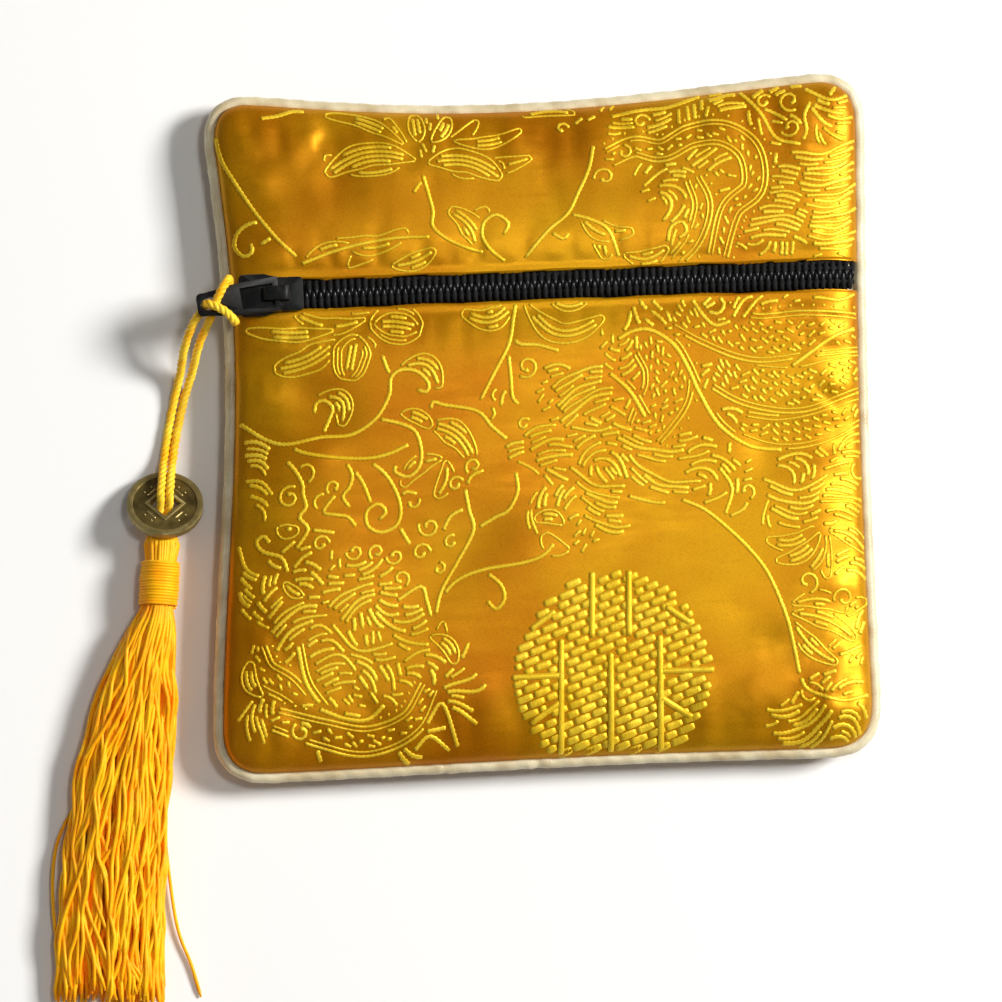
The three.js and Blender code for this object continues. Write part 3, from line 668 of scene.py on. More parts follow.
def old_brass():
    """Cast brass with a dull brown skin, rubbed brighter where it stands proud."""
    material = new_material("old_brass", (0.3, 0.22, 0.05), 0.42, 0.85)
    pits = noise(material, place(material), 0.9, 5.0, 0.65)
    patches = noise(material, place(material), 3.2, 3.0)
    skin = ramp(material, patches, (0.35, (0.105, 0.075, 0.022)), (0.7, (0.27, 0.2, 0.06)))
    coloured(material, rubbed(material, skin, (0.5, 0.4, 0.16), 0.5, 0.56))
    coloured(material, ramp(material, pits, (0.3, grey(0.3)), (0.7, grey(0.55))), "Roughness")
    bumped(material, pits, 0.06)
    return material


def floor_paper():
    material = new_material("floor_paper", (0.86, 0.86, 0.855), 0.8)
    bumped(material, noise(material, place(material), 2.0, 3.0), 0.02)
    return material


# Meshes

def add_piece(name, points, quads, material, triangles=()):
    """A mesh piece from points in millimetres, riding on the purse."""
    points = np.asarray(points, float).reshape(-1, 3) * MM
    quads = np.asarray(quads, np.int32).reshape(-1, 4)
    triangles = np.asarray(triangles, np.int32).reshape(-1, 3)
    mesh = bpy.data.meshes.new(name)
    mesh.vertices.add(len(points))
    mesh.vertices.foreach_set("co", points.ravel())
    corners = np.concatenate([quads.ravel(), triangles.ravel()])
    mesh.loops.add(len(corners))
    mesh.loops.foreach_set("vertex_index", corners)
    starts = [4 * np.arange(len(quads)), 4 * len(quads) + 3 * np.arange(len(triangles))]
    mesh.polygons.add(len(quads) + len(triangles))
    mesh.polygons.foreach_set("loop_start", np.concatenate(starts).astype(np.int32))
    mesh.polygons.foreach_set("use_smooth", [True] * len(mesh.polygons))
    mesh.update(calc_edges=True)
    mesh.validate()
    mesh.materials.append(material)
    piece = bpy.data.objects.new(name, mesh)
    bpy.context.scene.collection.objects.link(piece)
    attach(piece, "root")
    return piece


class Shape:
    """Points and faces of several parts that make one mesh."""

    def __init__(self):
        self.points = []
        self.quads = []
        self.triangles = []
        self.count = 0

    def add(self, points, quads, triangles=()):
        points = np.asarray(points, float).reshape(-1, 3)
        self.points.append(points)
        self.quads.append(np.asarray(quads, int).reshape(-1, 4) + self.count)
        self.triangles.append(np.asarray(triangles, int).reshape(-1, 3) + self.count)
        self.count += len(points)

    def piece(self, name, material, slot):
        points = np.concatenate(self.points)
        quads = np.concatenate(self.quads)
        triangles = np.concatenate(self.triangles)
        return add_piece(name, points, quads, material, triangles)


def ring_faces(rings, sides, hoop=False):
    """Quads between rings of points. A hoop's last ring meets its first."""
    ring = np.arange(rings if hoop else rings - 1)[:, None]
    side = np.arange(sides)[None, :]
    after = (ring + 1) % rings
    beside = (side + 1) % sides
    corners = [ring * sides + side, ring * sides + beside, after * sides + beside, after * sides + side]
    return np.stack(np.broadcast_arrays(*corners), -1).reshape(-1, 4)


def add_wall(shape, outer, inner, side):
    """A wall between two grids of points, its four edges closed. The side turns its faces outward."""
    rows, columns = outer.shape[:2]
    sides = 2 * columns
    across = np.arange(columns - 1)
    first = np.stack([across, across + 1, sides - 2 - across, sides - 1 - across], -1)
    last = first[:, ::-1] + (rows - 1) * sides
    quads = np.concatenate([ring_faces(rows, sides), first, last])
    shape.add(np.concatenate([outer, inner[:, ::-1]], 1), quads[:, ::side])


def end_fans(rings, sides):
    """Triangles that fill the first and the last ring."""
    fan = np.array([(0, k + 1, k) for k in range(1, sides - 1)])
    return np.concatenate([fan, fan[:, ::-1] + (rings - 1) * sides])


def along_curve(points, step):
    """Evenly spaced points on a smooth curve through given ones."""
    placed = np.asarray(points, float)
    placed = np.concatenate([[2 * placed[0] - placed[1]], placed, [2 * placed[-1] - placed[-2]]])
    share = np.linspace(0, 1, 12, endpoint=False)[:, None]
    dense = []
    for a, b, c, d in zip(placed, placed[1:], placed[2:], placed[3:]):
        bend = (2 * a - 5 * b + 4 * c - d) * share**2 + (3 * b - a - 3 * c + d) * share**3
        dense.append(b + 0.5 * ((c - a) * share + bend))
    dense.append(placed[-2][None])
    return evenly(np.concatenate(dense), step)


def evenly(line, step):
    reached = np.concatenate([[0], np.cumsum(np.linalg.norm(np.diff(line, axis=0), axis=1))])
    count = max(3, int(round(reached[-1] / step)) + 1)
    wanted = np.linspace(0, reached[-1], count)
    return np.stack([np.interp(wanted, reached, line[:, k]) for k in range(line.shape[1])], 1)


def frames_along(line):
    """Two directions square to a line at each of its points, turning no more than it does."""
    along = np.gradient(line, axis=0)
    along = along / np.linalg.norm(along, axis=1)[:, None]
    start = np.array([0.0, 0.0, 1.0])
    if abs(along[0] @ start) > 0.9:
        start = np.array([1.0, 0.0, 0.0])
    first = []
    side = np.cross(along[0], start)
    for direction in along:
        side = side - (side @ direction) * direction
        side = side / np.linalg.norm(side)
        first.append(side)
    first = np.array(first)
    return first, np.cross(along, first)


def tube(shape, line, radius, sides):
    """A round tube along a line, with filled ends. The radius may change along it."""
    first, second = frames_along(line)
    angle = np.arange(sides) * 2 * np.pi / sides
    radius = np.broadcast_to(radius, len(line))[:, None, None]
    cosine, sine = np.cos(angle)[None, :, None], np.sin(angle)[None, :, None]
    points = line[:, None] + radius * (first[:, None] * cosine + second[:, None] * sine)
    shape.add(points, ring_faces(len(line), sides), end_fans(len(line), sides))


# Camera, lights and floor

def add_camera():
    """A long lens nearly straight above the purse, as the photograph was taken."""
    middle = Vector((*VIEW_MIDDLE, SEAM_HEIGHT)) * MM
    lean = math.sin(CAMERA_LEAN)
    back = Vector((lean * math.cos(CAMERA_SIDE), lean * math.sin(CAMERA_SIDE), math.cos(CAMERA_LEAN)))
    top = Vector((math.sin(VIEW_TURN), math.cos(VIEW_TURN), 0))
    right = top.cross(back).normalized()
    top = back.cross(right)
    turn = Matrix((right, top, back)).transposed().to_4x4()
    data = bpy.data.cameras.new("photo_camera")
    data.sensor_width = SENSOR
    data.lens = SENSOR * CAMERA_AWAY / VIEW_WIDTH
    data.clip_end = 10
    camera = bpy.data.objects.new("photo_camera", data)
    camera.matrix_world = Matrix.Translation(middle + back * CAMERA_AWAY * MM) @ turn
    bpy.context.scene.collection.objects.link(camera)
    bpy.context.scene.camera = camera


def add_light(name, power, size, toward, away, colour):
    """A square soft light that shines on the purse from a direction."""
    data = bpy.data.lights.new(name, "AREA")
    data.energy = power
    data.size = size
    data.color = colour
    light = bpy.data.objects.new(name, data)
    direction = Vector(toward).normalized()
    light.location = direction * away
    light.rotation_euler = direction.to_track_quat("Z", "Y").to_euler()
    bpy.context.scene.collection.objects.link(light)


def add_studio():
    for light in LIGHTS:
        add_light(**light)
    world = bpy.data.worlds.new("studio")
    world.use_nodes = True
    world.node_tree.nodes["Background"].inputs["Color"].default_value = SKY_COLOUR
    world.node_tree.nodes["Background"].inputs["Strength"].default_value = SKY_STRENGTH
    bpy.context.scene.world = world
    bpy.context.scene.view_settings.view_transform = "Standard"


def add_floor():
    corners = [Vector((x, y, 0)) for x, y in ((-1, -1), (1, -1), (1, 1), (-1, 1))]
    mesh = bpy.data.meshes.new("floor")
    mesh.from_pydata([corner * FLOOR_HALF * MM for corner in corners], [], [(0, 1, 2, 3)])
    mesh.materials.append(floor_paper())
    floor = bpy.data.objects.new("floor", mesh)
    bpy.context.scene.collection.objects.link(floor)
    floor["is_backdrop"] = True


# Cord

def add_cord(material):
    """Soft strands twisted round the route, a little uneven in their lay and width."""
    route = along_curve(CORD_ROUTE, CORD_STEP) + np.array([0, 0, CORD_LIFT])
    first, second = frames_along(route)
    reached = np.arange(len(route)) * CORD_STEP
    twist = 2 * np.pi * reached / TWIST_LENGTH
    shape = Shape()
    for strand in range(CORD_STRANDS):
        angle = (twist + strand * 2 * np.pi / CORD_STRANDS)[:, None]
        ease = 0.94 + 0.06 * np.sin(reached * 1.9 + strand)
        offset = (CORD_DIAMETER / 2 + YARN_LOFT - STRAND_RADIUS) * ease
        line = route + offset[:, None] * (first * np.cos(angle) + second * np.sin(angle))
        swell = 1 + 0.05 * np.sin(reached * 4.1 + strand * 2)
        tube(shape, line, STRAND_RADIUS * swell, STRAND_SIDES)
    cord = shape.piece("twisted_cord", material, "yellow_cord")
    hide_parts("pull_cord")
    return cord, route


# Cloth panels

def panel_rows(low, high, spacing):
    """Places of the rows across a panel, closer together where the cloth turns over."""
    from_y = max(low, -CLOTH_EDGE)
    to_y = min(high, CLOTH_EDGE)
    count = int(round((to_y - from_y) / spacing))
    share = np.linspace(0, 1, count + 1)
    eased = share - np.sin(2 * np.pi * share) / (2 * np.pi) * 0.55
    return from_y + (to_y - from_y) * eased


def rolled(y, low, high):
    """How far a cut edge that is folded under rounds off, at rows near the fold."""
    depth = np.zeros_like(y)
    for fold, sign in ((low, 1), (high, -1)):
        if abs(fold) < CLOTH_EDGE:
            from_fold = np.clip(sign * (y - fold), 0, FOLDED_EDGE)
            depth = depth + FOLDED_EDGE - np.sqrt(FOLDED_EDGE**2 - (FOLDED_EDGE - from_fold) ** 2)
    return depth


def add_panel(name, node, low, high, surface, side, material, spacing):
    """A cloth panel with an outer and an inner face. Its zip edge is a rounded fold."""
    rows = panel_rows(low, high, spacing)
    columns = int(round((WIDTH - 2 * RIM_INSET) / spacing)) + 1
    share = np.linspace(-1, 1, columns)
    share = share + np.sin(np.pi * share) / np.pi * 0.4
    faces = []
    for depth in (0.0, CLOTH):
        inset = RIM_INSET + depth
        limit = LENGTH / 2 - inset
        y = np.clip(np.repeat(rows[:, None], columns, 1), -limit, limit)
        x = half_width(y, inset) * share[None, :]
        z = surface(x, y, depth) + side * rolled(y, low, high) * (1 if depth else -1)
        waviness = 0.1 * np.sin(x / 3.7 + 1.3) + 0.07 * np.sin(x / 1.9)
        at_fold = np.exp(-np.minimum(np.abs(y - low), np.abs(y - high)) / 0.8)
        faces.append(sewn(x, y + waviness * at_fold, z))
    shape = Shape()
    add_wall(shape, *faces, side)
    panel = shape.piece(name, material, "gold_brocade")
    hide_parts(node)
    return panel


# Loose cloth

def simulate_slack():
    """The front as a slightly long sheet, pinned at its seams and pressed out from inside."""
    share = np.linspace(-0.5, 0.5, SLACK_GRID)
    y, x = np.meshgrid(share * LENGTH, share * WIDTH, indexing="ij")
    points = sewn(x, y, front_surface(x, y)).reshape(-1, 3) * SLACK_SCALE
    corner = (np.arange(SLACK_GRID - 1)[:, None] * SLACK_GRID + np.arange(SLACK_GRID - 1)).ravel()
    faces = np.stack([corner, corner + 1, corner + SLACK_GRID + 1, corner + SLACK_GRID], -1)
    mesh = bpy.data.meshes.new("slack")
    mesh.from_pydata(points.tolist(), [], faces.tolist())
    sheet = bpy.data.objects.new("slack", mesh)
    bpy.context.scene.collection.objects.link(sheet)
    held = (near_edge(x, y, RIM_INSET) > SLACK_SEWN) | (np.abs(y - ZIP_LINE) < SLOT_HALF + 2)
    pins = sheet.vertex_groups.new(name="pins")
    pins.add(np.flatnonzero(held).tolist(), 1.0, "REPLACE")
    cloth = sheet.modifiers.new("cloth", "CLOTH")
    cloth.settings.vertex_group_mass = "pins"
    cloth.settings.use_pressure = True
    cloth.settings.uniform_pressure_force = SLACK_PRESSURE
    cloth.settings.shrink_min = -SLACK_SHARE
    cloth.settings.tension_stiffness = SLACK_STRETCH
    cloth.settings.compression_stiffness = SLACK_STRETCH
    cloth.settings.bending_stiffness = SLACK_BENDING
    cloth.settings.effector_weights.gravity = 0
    cloth.collision_settings.use_collision = False
    scene = bpy.context.scene
    for frame_number in range(1, SLACK_FRAMES + 1):
        scene.frame_set(frame_number)
    loose = sheet.evaluated_get(bpy.context.evaluated_depsgraph_get())
    after = np.empty(len(points) * 3)
    loose.data.vertices.foreach_get("co", after)
    lift = (after.reshape(-1, 3)[:, 2] - points[:, 2]) / SLACK_SCALE
    SLACK["grid"] = (SLACK_CAP * np.tanh(lift / SLACK_CAP)).reshape(SLACK_GRID, SLACK_GRID)
    scene.frame_set(1)
    bpy.data.objects.remove(sheet)


# Piping

def outline(inset, step):
    """Pattern points evenly round the outline that lies an inset in from the edge."""
    reach = REACH - inset
    half_x = WIDTH / 2 - inset
    half_y = LENGTH / 2 - inset
    angle = np.linspace(0, np.pi / 2, 60)
    corner = np.stack([np.cos(angle), np.sin(angle)], -1).clip(0) ** (2 / CORNER_POWER)
    points = []
    for turn, (x, y) in enumerate(((1, 1), (-1, 1), (-1, -1), (1, -1))):
        quarter = corner[::-1] if turn % 2 else corner
        points.append(np.stack([
            x * (half_x - reach * (1 - quarter[:, 0])),
            y * (half_y - reach * (1 - quarter[:, 1])),
        ], -1))
    closed = np.concatenate([*points, points[0][:1]])
    line = evenly(closed, step)
    return line[:-1]


def add_piping(material):
    """A satin tube over a cord. Its seam allowance reaches in between the front and the back."""
    line = outline(PIPING / 2, PIPING_STEP)
    centre = sewn(line[:, 0], line[:, 1], SEAM_HEIGHT)
    along = np.roll(centre, -1, axis=0) - np.roll(centre, 1, axis=0)
    along = along / np.linalg.norm(along, axis=1)[:, None]
    outward = np.stack([along[:, 1], -along[:, 0], 0 * along[:, 0]], -1)
    reached = PIPING_STEP * np.arange(len(line))[:, None]
    angle = np.arange(PIPING_SIDES) * 2 * np.pi / PIPING_SIDES
    slack = 0.045 * np.sin(reached * 1.7 + 1.6 * angle) + 0.03 * np.sin(reached * 0.61 - angle)
    pinched = 0.03 * np.sin(reached * 4.9 + 2 * angle)
    radius = PIPING / 2 * (0.96 + slack + pinched)
    for joint in PIPING_JOINTS:
        from_joint = np.linalg.norm((centre - sewn(*joint, SEAM_HEIGHT))[:, :2], axis=1)
        radius = radius * (1 - 0.14 * np.exp(-((from_joint / 0.5) ** 2)))[:, None]
        radius = radius * (1 + 0.05 * np.exp(-(((from_joint - 1.4) / 0.8) ** 2)))[:, None]
    cosine, sine = np.cos(angle)[None, :, None], np.sin(angle)[None, :, None]
    around = outward[:, None] * cosine + np.array([0, 0, 1]) * sine
    shape = Shape()
    rings = centre[:, None] + radius[:, :, None] * around
    shape.add(rings, ring_faces(len(line), PIPING_SIDES, hoop=True))
    outer = outline(FLANGE_INSET, FLANGE_STEP)
    inner = outline(FLANGE_INSET + FLANGE_REACH, FLANGE_STEP)
    count = min(len(outer), len(inner))
    wrap = np.linspace(0, 1, count, endpoint=False)
    ring = []
    for edge, side in ((outer, 1), (inner, 1), (inner, -1), (outer, -1)):
        pick = edge[(wrap * len(edge)).astype(int)]
        ring.append(sewn(pick[:, 0], pick[:, 1], SEAM_HEIGHT + side * FLANGE_HALF))
    shape.add(np.stack(ring, 1), ring_faces(count, 4, hoop=True))
    piping = shape.piece("satin_piping", material, "cream_satin")
    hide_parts("piping")
    return piping


# Zip

def add_tape(side, name, node, material):
    """A woven tape under the cloth's edges, with a rib for each few threads."""
    depth = CLOTH + 2 * GAP
    half = WIDTH / 2 - RIM_INSET - depth - 0.5
    x = np.linspace(-half, half, TAPE_ROWS)[:, None]
    share = np.linspace(0, 1, TAPE_COLUMNS)[None, :]
    inner = TAPE_PARTING / 2 + SLIDER_OPENING * np.clip((SLIDER_END - x) / SLIDER_EASE, 0, 1)
    y = ZIP_LINE + side * (inner + (TAPE_WIDTH - inner) * share)
    x = np.broadcast_to(x, y.shape)
    rib = 0.05 * np.sin(2 * np.pi * (share * 8)) + 0.03 * np.sin(2 * np.pi * (x / 0.8 + share * 7))
    outer = sewn(x, y, front_surface(x, y, depth) + rib)
    shape = Shape()
    add_wall(shape, outer, sewn(x, y, front_surface(x, y, depth + TAPE_THICKNESS)), side)
    tape = shape.piece(name, material, "black_tape")
    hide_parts(node)
    return tape


# One turn of a coil: how far from the zip's middle, how high, how far along in pitches, its radius
COIL_TURN = table("out up along wide", [
    (1.6, -0.8, 0.26, 0.28),
    (2.06, -0.6, 0.2, 0.34),
    (2.16, -0.25, 0.1, 0.42),
    (1.9, 0.0, 0.03, 0.5),
    (1.5, 0.06, 0.0, 0.5),
    (0.9, 0.12, 0.0, 0.46),
    (0.4, 0.22, 0.0, 0.4),
    (0.0, 0.26, 0.0, 0.38),
    (-0.34, 0.08, 0.0, 0.33),
    (-0.3, -0.3, -0.04, 0.28),
    (0.4, -0.55, -0.2, 0.25),
    (1.4, -0.8, -0.3, 0.24),
])


def add_coil(side, name, node, material):
    """The coil's turns: legs across the tape, and a swollen head that locks with the other coil."""
    from_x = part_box(node)[0].x / MM + 1.2
    to_x = WIDTH / 2 - COIL_END + 0.6
    out, up, along, wide = (np.array([row[key] for row in COIL_TURN]) for key in COIL_TURN[0])
    shape = Shape()
    for middle in np.arange(from_x, to_x, COIL_PITCH):
        x = middle + 0.25 * side * COIL_PITCH + along * COIL_PITCH
        over_edge = np.clip((middle - (WIDTH / 2 - COIL_END - 5)) / 5, 0, 1)
        ground = front_surface(x, np.full_like(x, ZIP_LINE), 0)
        turn = sewn(x, ZIP_LINE + side * out, ground + up * (1 - 0.2 * over_edge))
        line = along_curve(turn, COIL_STEP)
        reached = np.linspace(0, len(wide) - 1, len(line))
        tube(shape, line, np.interp(reached, np.arange(len(wide)), wide), COIL_SIDES)
    x = np.linspace(from_x - 0.5, to_x + 0.4, 160)
    y = np.full_like(x, ZIP_LINE + side * 1.15)
    tube(shape, sewn(x, y, front_surface(x, y, 0) - 0.25), COIL_CORE_RADIUS, COIL_SIDES)
    coil = shape.piece(name, material, "black_nylon")
    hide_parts(node)
    return coil


def rounded_copy(node, name, material, width, segments=3):
    """The node's own shape with its edges rounded, as cast or stamped metal has them."""
    mesh = NODES[node].data.copy()
    mesh.name = name
    mesh.materials.clear()
    mesh.materials.append(material)
    piece = bpy.data.objects.new(name, mesh)
    bpy.context.scene.collection.objects.link(piece)
    weld = piece.modifiers.new("weld", "WELD")
    weld.merge_threshold = 0.01 * MM
    flat = piece.modifiers.new("flat", "DECIMATE")
    flat.decimate_type = "DISSOLVE"
    flat.angle_limit = math.radians(2)
    bevel = piece.modifiers.new("round", "BEVEL")
    bevel.width = width * MM
    bevel.segments = segments
    bevel.limit_method = "ANGLE"
    bevel.angle_limit = math.radians(35)
    bevel.harden_normals = True
    triangles = piece.modifiers.new("triangles", "TRIANGULATE")
    triangles.min_vertices = 5
    graph = bpy.context.evaluated_depsgraph_get()
    applied = bpy.data.meshes.new_from_object(piece.evaluated_get(graph))
    piece.modifiers.clear()
    piece.data = applied
    piece.data.polygons.foreach_set("use_smooth", [True] * len(applied.polygons))
    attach(piece, "root")
    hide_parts(node)
    return piece


# Coin

def add_coin(material):
    """The coin with rounded rims, and plain bars and dots where such a coin has its marks."""
    coin = rounded_copy("coin", "cash_coin", material, 0.12)
    turn = Matrix.Rotation(-COIN_TILT, 4, "X") @ Matrix.Rotation(COIN_SPIN, 4, "Z")
    shape = Shape()
    for face in (1, -1):
        height = face * COIN_THICKNESS / 2
        for quarter in range(4):
            spin = np.array(Matrix.Rotation(quarter * math.pi / 2, 3, "Z"))
            for mark in COIN_MARKS:
                half = mark["length"] / 2
                ends = [(mark["out"], mark["across"] + way * half, height) for way in (-1, 1)]
                line = evenly(np.array(ends), 0.3) @ spin.T
                placed = np.array([turn @ Vector(p) for p in line]) + np.array(COIN_MIDDLE)
                tube(shape, placed, COIN_MARK_RADIUS, 8)
    marks = shape.piece("coin_marks", material, "old_brass")
    return coin, marks


# Tassel

def in_tassel(across, down, height):
    """A place in the tassel's own frame, turned and moved onto the table."""
    cosine, sine = math.cos(-TASSEL_TURN), math.sin(-TASSEL_TURN)
    x = TASSEL_TOP[0] + cosine * across + sine * down
    y = TASSEL_TOP[1] + sine * across - cosine * down
    return np.stack([x, y, height], -1)


# How the tassel's bundle widens on its way down: shares of its length and of its full size
BUNDLE = table("down wide high middle drift", [
    (0.0, 0.03, 0.1, 0.56, 0.0),
    (0.02, 0.1, 0.22, 0.56, 0.0),
    (0.045, 0.155, 0.34, 0.56, 0.0),
    (0.08, 0.125, 0.36, 0.56, 0.0),
    (0.13, 0.12, 0.36, 0.56, 0.0),
    (0.18, 0.13, 0.38, 0.56, 0.02),
    (0.22, 0.2, 0.42, 0.54, 0.14),
    (0.29, 0.28, 0.46, 0.5, 0.42),
    (0.38, 0.36, 0.45, 0.47, 0.6),
    (0.5, 0.41, 0.43, 0.45, 0.85),
    (0.7, 0.45, 0.41, 0.43, 1.0),
    (0.88, 0.46, 0.38, 0.4, 0.95),
    (1.0, 0.48, 0.34, 0.36, 0.8),
])


def add_tassel(material, shaded_core_material):
    """Threads doubled over the cord's loop, gathered by the binding and spread below it."""
    chance = np.random.default_rng(11)
    stations = {key: np.array([row[key] for row in BUNDLE]) for key in BUNDLE[0]}
    sizes = {"wide": TASSEL_WIDTH, "high": TASSEL_HEIGHT, "middle": TASSEL_HEIGHT, "drift": TASSEL_DRIFT}
    # The core threads take a deeper orange copy of the silk: painted shade inside the bundle.
    layers = {"tassel_threads": (Shape(), material), "tassel_core": (Shape(), shaded_core_material)}
    for thread in range(TASSEL_THREADS):
        core = thread % 3 == 0
        angle = chance.uniform(0, 2 * np.pi)
        out = math.sqrt(chance.uniform(*(CORE_ZONE if core else SKIN_ZONE)))
        length = chance.uniform(*(LONG_THREAD if thread % 9 else SHORT_THREAD))
        down = np.linspace(chance.uniform(*THREAD_START), length, THREAD_POINTS)
        wide, high, middle, drift = (
            np.interp(down, stations["down"], stations[key]) * size for key, size in sizes.items()
        )
        loose = np.clip((down - 0.2) / 0.15, 0, 1)
        sway = chance.normal(0, THREAD_SWAY, 4)
        turns = chance.uniform(*SWAY_TURNS, 2)
        turning = angle + loose * (sway[0] * np.sin(turns[0] * np.pi * down) + 0.35 * sway[1])
        spread = out * (1 + loose * 0.14 * sway[2] * np.sin(turns[1] * np.pi * down + angle))
        across = wide * spread * np.cos(turning) + drift
        crimp = loose * chance.uniform(*CRIMP) * np.sin(down * chance.uniform(*CRIMP_TURNS) + angle * 3)
        height = middle + high * spread * np.sin(turning) + crimp
        radius = CORE_THREAD_RADIUS if core else THREAD_RADIUS
        height = np.maximum(height, radius + THREAD_CLEARANCE)
        line = in_tassel(across + crimp, down * TASSEL_LENGTH, height)
        add_thread(layers["tassel_core" if core else "tassel_threads"][0], line, radius)
    for stray in STRAYS:
        line = along_curve([(*spot, 0) for spot in stray["points"]], 1.2)
        line[:, 2] = 0.4 + stray["lift"] * np.sin(np.pi * np.linspace(0, 1, len(line)))
        add_thread(layers["tassel_threads"][0], line, STRAY_RADIUS)
    pieces = []
    for name, (shape, finish) in layers.items():
        pieces.append(shape.piece(name, finish, "yellow_silk"))
    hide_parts("tassel")
    return pieces


def add_thread(shape, line, radius):
    """A thread that tapers at its end."""
    taper = np.ones(len(line))
    taper[-1] = 0.5
    tube(shape, line, radius * taper, THREAD_SIDES)


def add_binding(material):
    """Thread wound tightly round the neck, a little fuller in the middle."""
    turns = int(BINDING_LENGTH / BINDING_PITCH)
    angle = np.arange(0, turns * 2 * np.pi, 2 * np.pi / BINDING_STEPS)
    down = BINDING_START + 0.25 + (BINDING_LENGTH - 0.5) * angle / angle[-1]
    swell = 1 + 0.05 * np.sin(np.pi * (down - BINDING_START) / BINDING_LENGTH)
    uneven = 0.05 * np.sin(angle * 0.37) + 0.03 * np.sin(angle * 1.13)
    radius = (TASSEL_WAIST / 2 + BINDING_PROUD) * swell + uneven
    line = in_tassel(radius * np.cos(angle), down, WAIST_HEIGHT + radius * np.sin(angle))
    shape = Shape()
    tube(shape, line, BINDING_THREAD / 2, BINDING_SIDES)
    binding = shape.piece("tassel_winding", material, "yellow_silk")
    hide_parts("tassel_binding")
    return binding


# Woven pattern: every motif gives strokes, each a line on the flat pattern, a width and a height

def directions(line):
    """Unit directions along a flat line, and to its left."""
    slope = np.gradient(line, axis=0)
    slope = slope / np.maximum(1e-6, np.linalg.norm(slope, axis=1))[:, None]
    return slope, np.stack([-slope[:, 1], slope[:, 0]], -1)


def turned(points, x, y, heading):
    """Points moved to a place and turned, by degrees, from lying along X."""
    points = np.asarray(points, float)
    cosine, sine = math.cos(math.radians(heading)), math.sin(math.radians(heading))
    along, across = points[:, 0], points[:, 1]
    return np.stack([x + cosine * along - sine * across, y + sine * along + cosine * across], -1)


def vine(places, width=STEM):
    yield along_curve(from_photo(places), STITCH), width, RELIEF


def ridge(places):
    """A thick line with a fine one beside it."""
    yield from vine(places, FILL)
    yield along_curve(from_photo(places) + np.array([0.75, 0.55]), STITCH), FINE, RELIEF


def curl(spot, radius, start, turns, hand):
    """A tendril that winds inward to a small knob."""
    share = np.linspace(0, 1, 40)
    angle = np.radians(start) + hand * share * turns * 1.5 * np.pi
    away = 1.2 * radius * (1 - 0.72 * share)
    x, y = from_photo(spot)
    line = evenly(np.stack([x + away * np.cos(angle), y + away * np.sin(angle)], -1), STITCH)
    knob = np.clip((np.arange(len(line)) - len(line) + 4) / 3, 0, 1)
    yield line, TENDRIL * (1 + 0.6 * knob), RELIEF


def blade(base, tip, width, bend):
    """A leaf or petal: nested beaded contours round a few bright satin strokes."""
    base, tip = from_photo(base), from_photo(tip)
    length = math.dist(base, tip)
    heading = math.degrees(math.atan2(tip[1] - base[1], tip[0] - base[0]))
    share = np.linspace(0, 1, max(36, int(length / BLADE_STEP)))
    spine = np.stack([share * length, bend * length * np.sin(np.pi * share)], -1)
    normal = directions(spine)[1]
    lobes = 1 + 0.07 * np.sin(share * length * 0.9 + width)
    narrow_base = np.minimum(1, share / 0.4) ** 0.4
    half = width / 2 * np.sin(np.pi * share**0.8).clip(0) ** 0.45 * narrow_base * lobes
    contours = 3 if width > WIDE_BLADE else 1
    for nested in range(contours):
        inner = half - nested * CONTOUR
        kept = inner > 0.1
        if kept.sum() < 8:
            break
        edge = normal[kept] * inner[kept][:, None]
        left, right = spine[kept] + edge, spine[kept] - edge
        line = np.concatenate([left, right[::-1], left[:1]])
        yield evenly(turned(line, *base, heading), STITCH), FINE, RELIEF
    inside = half - contours * CONTOUR
    rows = int(max(0, 2 * inside.max() + 0.3) / SATIN_ROW) + 1
    for stroke, across in enumerate((np.arange(rows) - (rows - 1) / 2) * SATIN_ROW):
        kept = inside > abs(across) - 0.15
        kept[: 3 * (stroke % 3)] = False
        if kept.sum() > 6:
            line = spine[kept] + normal[kept] * across
            yield evenly(turned(line, *base, heading), STITCH), SATIN_ROW, RELIEF * 1.2


def hair(start_a, start_b, end_a, end_b, bend):
    """Locks or feathers: lines from one row of places to another, bent and slightly waved."""
    start_a, start_b, end_a, end_b = from_photo([start_a, start_b, end_a, end_b])
    widest = max(math.dist(start_a, start_b), math.dist(end_a, end_b))
    count = round(widest / STRAND) + 1
    for k in range(count):
        share = k / (count - 1)
        start = start_a + (start_b - start_a) * share
        line = end_a + (end_b - end_a) * share - start
        length = math.hypot(*line)
        normal = np.array([-line[1], line[0]]) / length
        at = np.linspace(0.04 * (k % 3), 1 - 0.05 * (k % 4), LOCK_POINTS)
        sway = bend * length * np.sin(np.pi * at * 0.9) + 0.16 * np.sin(at * length * 0.9 + k * 1.3)
        points = start + line * at[:, None] + normal * sway[:, None]
        width = FILL * (0.86 + 0.14 * math.sin(2.3 * k))
        yield evenly(points, STITCH), width, RELIEF * (1 + 0.2 * math.sin(1.7 * k))


